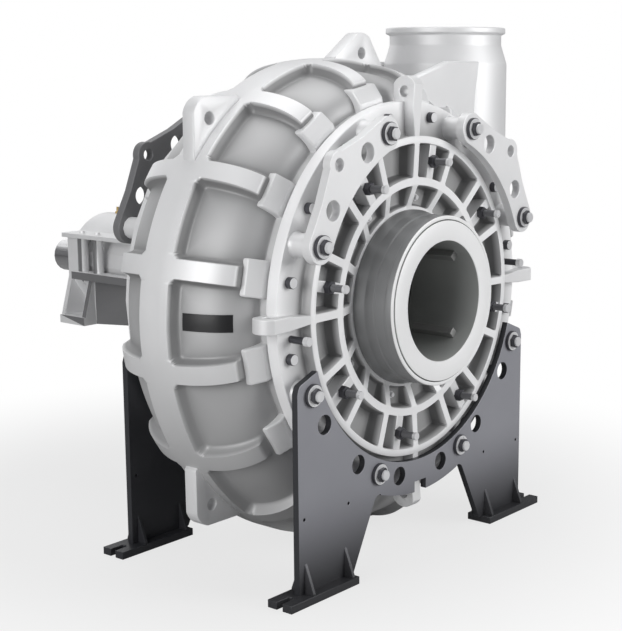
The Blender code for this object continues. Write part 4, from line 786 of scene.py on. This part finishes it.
# a crest and a hollow for each pitch, from the end cap to the back of the nut
turns = np.arange(2 * int((adjuster["threadEnd"] - threadStart) / adjuster["pitch"]) + 1)
threadProfile = [(0, threadStart),
                 *zip(adjuster["stud"] - np.where(turns % 2, adjuster["threadDepth"], 0.0),
                      turns * adjuster["pitch"] / 2 + threadStart),
                 (adjuster["stud"], adjuster["root"]), (0, adjuster["root"])]
fasteners("adjusterStuds", threadProfile, 20, adjuster["radius"], adjusterSpots, threadSteel,
          [f"adjuster_stud_{k + 1}" for k in range(8)], "liner_set", sharp=50.0)
fasteners("adjusterEnds", stub(adjuster["endRadius"], threadStart + adjuster["endOverlap"], tip,
                               adjuster["endEdge"]), 24, adjuster["radius"], adjusterSpots,
          finishes["bolt_steel"], body="liner_set")

rods = dict(radius=1.030, shaft=0.020, angles=(185.5, 5.5), front=0.135, back=0.268, cap=0.026,
            capLength=0.030, overlap=0.002, edge=0.003)
rodSpots = [(angle, False) for angle in rods["angles"]]
capBack = rods["front"] + rods["capLength"]
fasteners("jackRods", stub(rods["shaft"], rods["back"], capBack - rods["overlap"]), 24, rods["radius"],
          rodSpots, boltSideShade)
fasteners("jackRodEnds", stub(rods["cap"], capBack, rods["front"], rods["edge"]), 24, rods["radius"],
          rodSpots, finishes["bolt_steel"])
print("adjusters and rods")


# Suction liner and sleeve

def brightFront(piece, limit):
    # the second finish goes on the faces nearer the front than the limit
    secondFinish(piece, perFace(piece, "center")[:, 1] - pump[1] < limit)


liner = dict(bore=0.350, face=0.465, start=0.395, front=0.392, back=0.522, disc=0.885, bright=0.0045,
             edges=(0.004, 0.004, 0.02, 0.004, 0.004), barHalf=0.023, barReach=0.303, barStart=0.100,
             barRoot=0.360, barEdge=0.003)
linerProfile = rounded([(liner["face"], liner["start"]), (liner["face"], 0.0), (liner["bore"], 0.0),
                        (liner["bore"], liner["back"]), (liner["disc"], liner["back"]),
                        (liner["disc"], liner["front"]), (liner["face"], liner["front"])],
                       liner["edges"], 4)
linerPiece = spunPiece("linerBody", linerProfile, [boreDark, flangeBright], 30.0)
brightFront(linerPiece, liner["bright"])
placed(linerPiece, "liner_set", "white_iron", "suction_liner")
barOutline = [(liner["barReach"], liner["barStart"]), (liner["barRoot"], liner["barStart"]),
              (liner["barRoot"], liner["front"]), (liner["barReach"], liner["front"])]
guides = around("linerGuides", prism(barOutline, 2 * liner["barHalf"]),
                [(45.0 + 90 * k, False) for k in range(4)], finishes["white_iron"], 30.0, liner["barEdge"])
placed(guides, "liner_set", "white_iron")

sleeve = dict(bright=0.0125,
              profile=((0.4705, 0.345), (0.4705, 0.006), (0.492, 0.006), (0.494, 0.052), (0.488, 0.058),
                       (0.488, 0.128), (0.494, 0.134), (0.494, 0.196), (0.513, 0.246), (0.513, 0.264),
                       (0.494, 0.266), (0.494, 0.345)),
              edges=(0.003, 0.006, 0.004, 0.004, 0.004, 0.004, 0.03, 0.008, 0.004, 0))
sleevePiece = spunPiece("sleeveNeck", rounded(sleeve["profile"], sleeve["edges"], 4),
                        [finishes["suction_casting"], flangeBright], 40.0)
brightFront(sleevePiece, sleeve["bright"])
placed(sleevePiece, "pump_body", "suction_casting", "suction_sleeve")
print("liner and sleeve")


# Tie plates and legs

plates = dict(lobe=0.095, apexRadius=1.158, apex=0.075, apexHole=0.035, access=0.055, boltHole=0.028,
              shoulder=0.55, gap=0.0002, edge=0.0035)


def tieSpot(radius, angle):
    t = math.radians(angle)
    return radius * math.cos(t), radius * math.sin(t)


def plateStarts(standoff, thick):
    # where a plate starts along the axis, before the front pillars and behind the rear ones
    return {"front": cover["face"] - standoff - thick - plates["gap"],
            "rear": 2 * casing["middle"] - cover["face"] + standoff + plates["gap"]}


def tiePlateLoops():
    half, lobe, radius = 22.5, plates["lobe"], tie["radius"]
    bend = half * plates["shoulder"]
    left, right = tieSpot(radius, half), tieSpot(radius, -half)
    outline = np.concatenate([
        outlineArc(*right, lobe, -half - 180, -half, 20), [tieSpot(radius + lobe, -bend)],
        outlineArc(plates["apexRadius"], 0, plates["apex"], -60, 60, 12), [tieSpot(radius + lobe, bend)],
        outlineArc(*left, lobe, half, half + 180, 20),
        outlineArc(0, 0, radius - lobe, half, -half, 24)[1:-1]])
    return [outline, *[hole(*spot, plates["boltHole"], 24) for spot in (left, right)],
            hole(plates["apexRadius"], 0, plates["apexHole"], 28),
            *[hole(*tieSpot(radius, side * half / 2), plates["access"], 36) for side in (-1, 1)]]


for place, y in plateStarts(tie["upper"], tie["upperPlate"]).items():
    for label, angle in (("right", 45.0), ("left", 135.0)):
        # the rear plates are painted in shade with castShade, the front ones keep the casting's colour
        piece = platePiece(f"{place}Plate{label.capitalize()}", tiePlateLoops(), y, tie["upperPlate"],
                           finishes["cast_steel"] if place == "front" else castShade, plates["edge"],
                           lambda spots, a=angle: swing(spots, a))
        placed(piece, "pump_body", "cast_steel", f"{place}_tie_plate_{label}")

leg = dict(outer=1.090, footInner=0.630, knee=0.420, saddle=0.965, saddleTop=0.276, shoulder=0.059,
           bevel=0.045, bridge=1.165, notch=0.055, notchDepth=0.065, floor=-1.5386, padThick=0.045,
           sunk=0.006, kneeEdge=0.05, shoulderEdge=0.03, accessAngles=(33.75, 56.25, 78.75), dowel=0.009,
           dowels=(1.045, 0.672), dowelZ=-1.075, edge=0.003, facing=0.8)


def legLoops():
    outer, footInner, bridge, shoulder = leg["outer"], leg["footInner"], leg["bridge"], -leg["saddleTop"]
    shoulder -= leg["shoulder"]
    top = math.degrees(math.asin(leg["saddleTop"] / leg["saddle"]))
    footTop = leg["floor"] + leg["padThick"] - leg["sunk"]
    knee, notch = (-math.sqrt(bridge ** 2 - leg[part] ** 2) for part in ("knee", "notch"))
    start, end = (math.degrees(math.acos(leg[part] / bridge)) for part in ("notch", "knee"))
    right = np.concatenate([
        [(leg["notch"], leg["notchDepth"] + notch)], outlineArc(0, 0, bridge, -start, -end, 8)[:-1],
        rounded([(leg["notch"], notch), (leg["knee"], knee), (footInner, footTop)],
                [leg["kneeEdge"]])[1:-1],
        [(footInner, footTop), (outer, footTop)],
        rounded([(outer, footTop), (outer, shoulder - leg["bevel"]), (outer - leg["bevel"] / 3, shoulder),
                 tieSpot(leg["saddle"], -top)], [leg["shoulderEdge"]] * 2, 4)[1:-1]])
    saddle = outlineArc(0, 0, leg["saddle"], -top, top - 180, 72)
    loops = [np.concatenate([right, saddle, right[::-1] * [-1, 1]])]
    loops += [hole(*tieSpot(tie["radius"], angle), plates["boltHole"], 24) for angle in tieAngles[4:]]
    for angle in leg["accessAngles"]:
        x, z = tieSpot(tie["radius"], -angle)
        loops += [hole(side * x, z, plates["access"], 36) for side in (1, -1)]
    loops += [hole(side * x, leg["dowelZ"], leg["dowel"], 12) for side in (1, -1) for x in leg["dowels"]]
    return loops


pad = dict(inner=0.6576, outer=1.2293, depth=0.173, slotHalf=0.020, slot=0.080, edge=0.003,
           gussetRise=0.180, gussetTip=0.012, gussetThick=0.020, gussets=(0.700, 1.035), gussetEdge=0.002,
           gussetIn=0.004, gussetShort=0.006, gussetSunk=0.003)
halfPad, slotEnd = pad["depth"] / 2, pad["outer"] - pad["slot"]
padOutline = np.concatenate([
    [(pad["inner"], -halfPad), (pad["outer"], -halfPad), (pad["outer"], -pad["slotHalf"])],
    outlineArc(slotEnd, 0, pad["slotHalf"], 270, 90, 12),
    [(pad["outer"], pad["slotHalf"]), (pad["outer"], halfPad), (pad["inner"], halfPad)]])
near, far = tie["legPlate"] / 2 - pad["gussetIn"], halfPad - pad["gussetShort"]
foot = leg["floor"] + leg["padThick"] - pad["gussetSunk"]
gussetOutline = [(near, foot), (far, foot), (far, foot + pad["gussetTip"]),
                 (near, foot + pad["gussetRise"])]


def padSpots(spots, side, middle):
    # outline of (x, y), thickness upwards from the floor
    return np.stack([side * spots[:, 0], middle + spots[:, 2], leg["floor"] + spots[:, 1]], axis=1)


def gussetSpots(spots, x, facing, middle):
    # outline of (distance from the leg plate's middle, z), thickness along x
    return np.stack([x + spots[:, 1] - pad["gussetThick"] / 2, middle + facing * spots[:, 0],
                     spots[:, 2]], axis=1)


for place, y in plateStarts(tie["lower"], tie["legPlate"]).items():
    # the front legs keep the leg paint; the rear legs, pads and gussets are painted in shade with legShade
    frontPaintRearShade = finishes["leg_paint"] if place == "front" else legShade
    middle = y + tie["legPlate"] / 2
    piece = platePiece(f"{place}LegPlate", legLoops(), y, tie["legPlate"], [frontPaintRearShade, legShade], leg["edge"])
    # the cut edges, whose normals lie across the axis, are painted dark as shade
    secondFinish(piece, np.abs(perFace(piece, "normal")[:, 1]) < leg["facing"])
    placed(piece, "pump_body", "leg_paint", f"{place}_legs")
    for side in (-1, 1):
        piece = platePiece(f"{place}Pad{'RL'[side < 0]}", [padOutline], 0, leg["padThick"], frontPaintRearShade,
                           pad["edge"], lambda spots, s=side, m=middle: padSpots(spots, s, m))
        placed(piece, "pump_body", "leg_paint")
        for k, x in enumerate(pad["gussets"]):
            for facing in (-1, 1):
                piece = platePiece(
                    f"{place}Gusset{'RL'[side < 0]}{k + 1}{'FB'[facing > 0]}", [gussetOutline], 0,
                    pad["gussetThick"], frontPaintRearShade, pad["gussetEdge"],
                    lambda spots, x=side * x, f=facing, m=middle: gussetSpots(spots, x, f, m))
                placed(piece, "pump_body", "leg_paint")
print("plates and legs")


# Discharge webs and the bare plate on the left side

web = dict(spread=0.350, thick=0.060, edge=0.012, outline=(
    (0.364, 1.00), (0.364, 1.273), (0.699, 1.364), (1.027, 1.366), (0.985, 1.14), (0.950, 0.70),
    (0.600, 0.70)))
for side in (-1, 1):
    piece = platePiece(f"branchWeb{'BF'[side < 0]}", [web["outline"]],
                       casing["middle"] + side * web["spread"] - web["thick"] / 2, web["thick"],
                       finishes["cast_steel"], web["edge"])
    placed(piece, "pump_body", "cast_steel")

sidePlate = dict(front=0.452, back=0.700, half=0.047, rise=0.003, thick=0.004, meanRadius=1.35)


def sidePlateSheets():
    # two sheets over the shell, radius(y) = face + (crown - face) sin(t) ** (2 / power) + rise
    y, z = np.meshgrid(np.linspace(sidePlate["front"], sidePlate["back"], 24),
                       np.linspace(-1, 1, 9) * sidePlate["half"])
    half = casing["width"] / 2 - casing["shoulder"]
    turn = np.arccos(np.clip((casing["middle"] - y) / half, 0, 1) ** (casing["power"] / 2))
    crown = crownRadius(180 - np.degrees(z / sidePlate["meanRadius"]))
    radius = casing["faceRadius"] + (crown - casing["faceRadius"]) * np.sin(turn) ** (2 / casing["power"])
    return [np.stack([-np.sqrt((radius + rise) ** 2 - z ** 2), y, z], axis=-1)
            for rise in (sidePlate["rise"], sidePlate["rise"] + sidePlate["thick"])]


lower, upper = sidePlateSheets()
rims = [np.concatenate([sheet[:, 0], sheet[-1, 1:], sheet[::-1, -1][1:], sheet[0, ::-1][1:-1]])
        for sheet in (lower, upper)]
faces, count = gridQuads(*lower.shape[:2], wrapColumns=False), lower[..., 0].size
edgeFaces = gridQuads(2, len(rims[0])) + 2 * count
plate = loadMesh("barePlate", np.concatenate([lower.reshape(-1, 3), upper.reshape(-1, 3), *rims]),
                 np.concatenate([faces, faces[:, ::-1] + count, edgeFaces]), plateBlack, 30.0)
placed(plate, "pump_body", "leg_paint")
print("webs and plate")


# Drive side: the CAD shapes with their facets smoothed and edges eased

driveSide = {
    "bearing_pedestal": ("pump_body", "cast_steel", 0.0),
    "bearing_cap": ("pump_body", "cast_steel", 0.003),
    "bearing_housing": ("pump_body", "cast_steel", 0.0),
    "back_cover": ("pump_body", "cast_steel", 0.0),
    "drive_end_cover": ("pump_body", "cast_steel", 0.0),
    "pump_end_cover": ("pump_body", "cast_steel", 0.0),
    "shaft": ("rotor", "machined_steel", 0.0),
    "gland_follower": ("gland", "machined_steel", 0.0),
    "stuffing_box": ("pump_body", "cast_steel", 0.0),
    "impeller": ("rotor", "white_iron", 0.0)}
pedestal = dict(inset=0.08, shelf=0.13, facing=0.9)


def eased(nodeName, body, slotName, edge):
    node = frame["nodes"][nodeName]
    bm = bmesh.new()
    bm.from_mesh(node.data)
    bm.transform(node.matrix_world)
    bmesh.ops.remove_doubles(bm, verts=bm.verts, dist=meshing["cadMerge"])
    if edge:
        bmesh.ops.dissolve_limit(bm, angle_limit=0.004, verts=bm.verts, edges=bm.edges)
        easeRim(bm, edge, meshing["plateRim"])
    mesh = bpy.data.meshes.new("eased" + "".join(part.capitalize() for part in nodeName.split("_")))
    bm.to_mesh(mesh)
    bm.free()
    shaded(mesh, meshing["plateSharp"])
    return placed(linked(mesh, finishes[slotName]), body, slotName, nodeName)


def shadeInset(piece):
    # the pedestal's walls that face sideways, set back under the shelf, lie in shade
    piece.data.materials.append(castShade)
    spots = perFace(piece, "center")
    across = np.abs(spots[:, 0] - pump[0])
    secondFinish(piece, (np.abs(perFace(piece, "normal")[:, 0]) > pedestal["facing"])
                 & (across < across.max() - pedestal["inset"])
                 & (spots[:, 1] < spots[:, 1].max() - pedestal["shelf"]))


for nodeName, settings in driveSide.items():
    made = eased(nodeName, *settings)
    if nodeName == "bearing_pedestal":
        shadeInset(made)
print("drive side")


# Camera, light and floor

view = dict(azimuth=-51.686, elevation=10.458, spot=(-6.3046, -4.5117, 1.2908), lens=77.8, sensor=36.0,
            shift=(-0.1106, 0.0149), far=200.0)
camera = bpy.data.cameras.new("camera")
camera.lens, camera.sensor_width = view["lens"], view["sensor"]
camera.shift_x, camera.shift_y = view["shift"]
camera.clip_end = view["far"]
eye = bpy.data.objects.new("camera", camera)
bpy.context.scene.collection.objects.link(eye)
azimuth, elevation = math.radians(view["azimuth"]), math.radians(view["elevation"])
back = Vector((math.sin(azimuth) * math.cos(elevation), -math.cos(azimuth) * math.cos(elevation),
               math.sin(elevation)))
eye.location = Vector(np.array(view["spot"]) + pump)
eye.rotation_euler = (-back).to_track_quat("-Z", "Y").to_euler()
bpy.context.scene.camera = eye

lamps = dict(left=dict(spot=(-9.0, -1.5, 3.6), size=5.0, power=400.0),
             right=dict(spot=(3.0, -9.0, 4.0), size=5.0, power=455.0),
             top=dict(spot=(0.5, 0.0, 9.0), size=7.0, power=320.0),
             rear=dict(spot=(3.0, 9.0, 5.0), size=6.0, power=150.0))
lampTarget = Vector((0, -0.3, 1.4))
for name, lamp in lamps.items():
    light = bpy.data.lights.new(name, "AREA")
    light.shape, light.size, light.energy = "SQUARE", lamp["size"], lamp["power"]
    made = bpy.data.objects.new(name, light)
    made.location = lamp["spot"]
    made.rotation_euler = (lampTarget - Vector(lamp["spot"])).to_track_quat("-Z", "Y").to_euler()
    bpy.context.scene.collection.objects.link(made)

studio = dict(sky=(0.62, 0.63, 0.65, 1), skyStrength=0.36, white=(1, 1, 1, 1), floor=(0.42, 0.42, 0.42, 1),
              floorRough=0.9, fadeStart=1.6, fadeEnd=4.0, fadeLeast=0.74, half=40.0, low=-0.001)
world = bpy.data.worlds.new("studio")
bpy.context.scene.world = world
sky = NodeTree(world)
sky.nodes.clear()
lit = sky.node("ShaderNodeBackground", None, {"Color": studio["sky"], "Strength": studio["skyStrength"]})
seen = sky.node("ShaderNodeBackground", None, {"Color": studio["white"], "Strength": 1.0})
blend = sky.node("ShaderNodeMixShader", None, {
    0: sky.node("ShaderNodeLightPath")["Is Camera Ray"], 1: lit["Background"], 2: seen["Background"]})
sky.node("ShaderNodeOutputWorld", None, {"Surface": blend["Shader"]})

# a grey floor that keeps the shadow, and fades to the white background away from the pump
floorPaint = Finish("floorPale")
floorPaint.set({"Base Color": studio["floor"], "Roughness": studio["floorRough"]})
far = floorPaint.node("ShaderNodeVectorMath", {"operation": "LENGTH"}, {0: floorPaint.place})["Value"]
fade = floorPaint.smoothRange(far, studio["fadeStart"], studio["fadeEnd"], studio["fadeLeast"])
bright = floorPaint.node("ShaderNodeEmission", None, {"Color": studio["white"], "Strength": 1.0})
blend = floorPaint.node("ShaderNodeMixShader", None, {
    0: fade * floorPaint.node("ShaderNodeLightPath")["Is Camera Ray"],
    1: Wire(floorPaint, floorPaint.shader.outputs["BSDF"]), 2: bright["Emission"]})
floorPaint.feed(floorPaint.nodes["Material Output"].inputs["Surface"], blend["Shader"])
half, low = studio["half"], studio["low"]
floorMesh = bpy.data.meshes.new("studioFloor")
floorMesh.from_pydata([(-half, -half, low), (half, -half, low), (half, half, low), (-half, half, low)], [],
                      [(0, 1, 2, 3)])
floor = linked(floorMesh, floorPaint.material)
bpy.context.scene.view_settings.view_transform = "Standard"

print("done")
